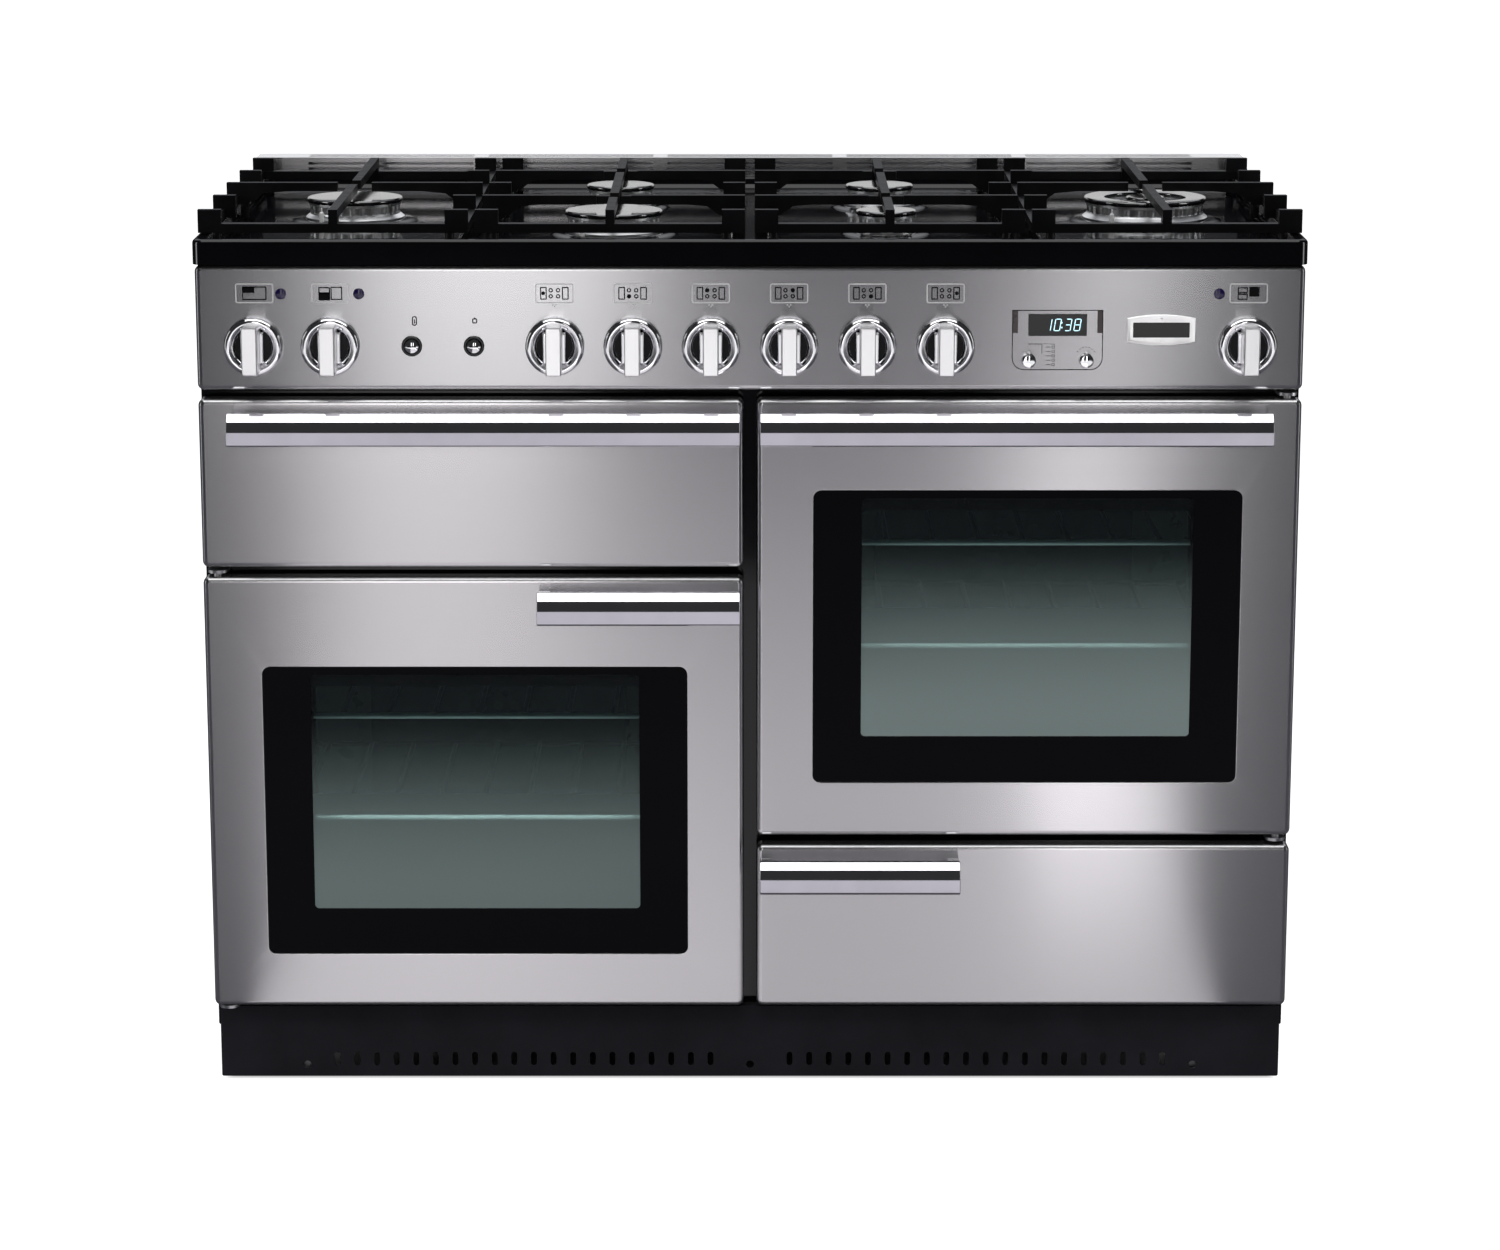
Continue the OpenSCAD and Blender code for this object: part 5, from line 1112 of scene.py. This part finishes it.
def make_floor():
    bm = bmesh.new()
    half = 40.0
    corners = [(-half, -half, 0), (half, -half, 0), (half, half, 0), (-half, half, 0)]
    bm.faces.new([bm.verts.new(corner) for corner in corners])
    mesh = bpy.data.meshes.new("floor")
    bm.to_mesh(mesh)
    bm.free()
    floor = bpy.data.objects.new("floor", mesh)
    bpy.context.scene.collection.objects.link(floor)
    mat = new_material("floor", (0.5, 0.5, 0.5), 0.0, 0.9)
    nodes, links = mat.node_tree.nodes, mat.node_tree.links
    shader = nodes["Principled BSDF"]
    shader.inputs["Emission Color"].default_value = (1, 1, 1, 1)
    links.new(beyond_cooker(nodes, links), shader.inputs["Emission Strength"])
    dim = nodes.new("ShaderNodeBsdfDiffuse")
    dim.inputs["Color"].default_value = (0.13, 0.128, 0.145, 1)
    mix_by_camera(nodes, links, shader.outputs["BSDF"], dim.outputs["BSDF"],
                  nodes["Material Output"].inputs["Surface"])
    mesh.materials.append(mat)


make_camera()
make_world()
make_floor()
for oven in ("left_oven_liner", "right_oven_liner"):
    lo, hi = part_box(oven)
    cx, cz = (lo.x + hi.x) / 2, (lo.z + hi.z) / 2
    lamp = area_light(oven + "_light", (cx, lo.y + 3 * MM, cz), (cx, hi.y, cz - 60 * MM), (0.3, 0.04), 0.4,
                      (0.9, 1.0, 0.98))
    lamp.visible_camera = False
    lamp.visible_glossy = False
area_light("overhead", (0, -0.8, 3.2), (0, -0.1, 0.4), (3.0, 2.2), 45)
# At each side a strong strip for the dull pieces, and a weak one for those that mirror it
side_lights, side_fills = [
    [area_light(name, (side * 3.6, -1.0, 1.0), (side * 0.5, -0.3, 0.6), (0.9, 2.4), power)
     for side in (-1, 1)]
    for name, power in (("side_strip", 34), ("side_fill", 6))]
# Upright strips behind the camera make the light bands in the steel; the control panel has its own two
steel_lights = [upright_strip("strip_left", -0.76, -0.3, 0.7, 20, (1, 0.965, 0.97)),
                upright_strip("strip_right", 0.84, 0.3, 0.34, 11, (1, 0.975, 0.98))]
panel_lights = [upright_strip("panel_strip_left", -0.61, -0.3, 0.68, 18.5, (1, 0.98, 0.985)),
                upright_strip("panel_strip_right", 0.88, 0.3, 0.25, 7, (1, 0.98, 0.985))]
# Low panels on the floor in front, which the steel fronts mirror: name, x, width, near y, far y, power
floor_lights = []
for name, x, width, near, far, power in (("floor_near_left", -0.265, 0.53, -0.36, -1.1, 0.96),
                                         ("floor_near_right", 0.25, 0.5, -0.36, -1.1, 0.74),
                                         ("floor_far_wide", -0.03, 1.16, -1.1, -2.8, 4.46),
                                         ("floor_far_strip", 0.45, 0.18, -1.1, -2.6, 1.35)):
    floor_lights.append(floor_lamp(name, x, (near + far) / 2, (width, near - far), power, (1, 0.955, 0.99)))
handle_light = floor_lamp("floor_far", 0.0, -3.7, (6.0, 5.6), 50, (0.94, 0.91, 1.0))
knob_light = floor_lamp("floor_knobs", 0.0, -4.8, (6.0, 6.0), 100)
back_light = area_light("back_panel", (0.0, 3.4, 1.7), (0.0, 0.0, 0.9), (5.0, 2.2), 30)

# Which pieces a lamp lights, by the ends of their names
BLACK_ENDS = ("_glass_rim", "_glass_pane", "_inner_glass", "_handle_bar", "hob_tray_pressed", "pan_supports",
              "plinth")
KNOB_ENDS = ("_turned", "_dome", "panel_fittings_dressed")
BACK_ENDS = ("burner_caps_enamelled", "burner_heads_cast", "flue_strip", "rear_panel", "gas_rail",
             "rear_rollers")
PANEL_ENDS = ("panel_pressed",)
BRIGHT_ENDS = KNOB_ENDS + PANEL_ENDS + ("_handle_bar", "_skin_pressed", "_front_pressed")
solid = [o for o in bpy.data.objects if o.type == "MESH"]
for lamps, ends, name, state in (
        (floor_lights, BLACK_ENDS, "mirrors", "EXCLUDE"),
        (steel_lights, BLACK_ENDS + PANEL_ENDS, "other_fronts", "EXCLUDE"),
        (side_lights, BRIGHT_ENDS, "dull_pieces", "EXCLUDE"),
        (side_fills, BRIGHT_ENDS, "bright_pieces", "INCLUDE"),
        (panel_lights, PANEL_ENDS, "panel", "INCLUDE"),
        ([handle_light], ("_handle_bar",), "handles", "INCLUDE"),
        ([knob_light], KNOB_ENDS, "knobs", "INCLUDE"),
        ([back_light], BACK_ENDS, "back_pieces", "INCLUDE")):
    link_lights(lamps, [o for o in solid if o.name.endswith(ends)], name, state)
bpy.context.scene.view_settings.view_transform = "Standard"
bpy.context.scene.cycles.use_denoising = True
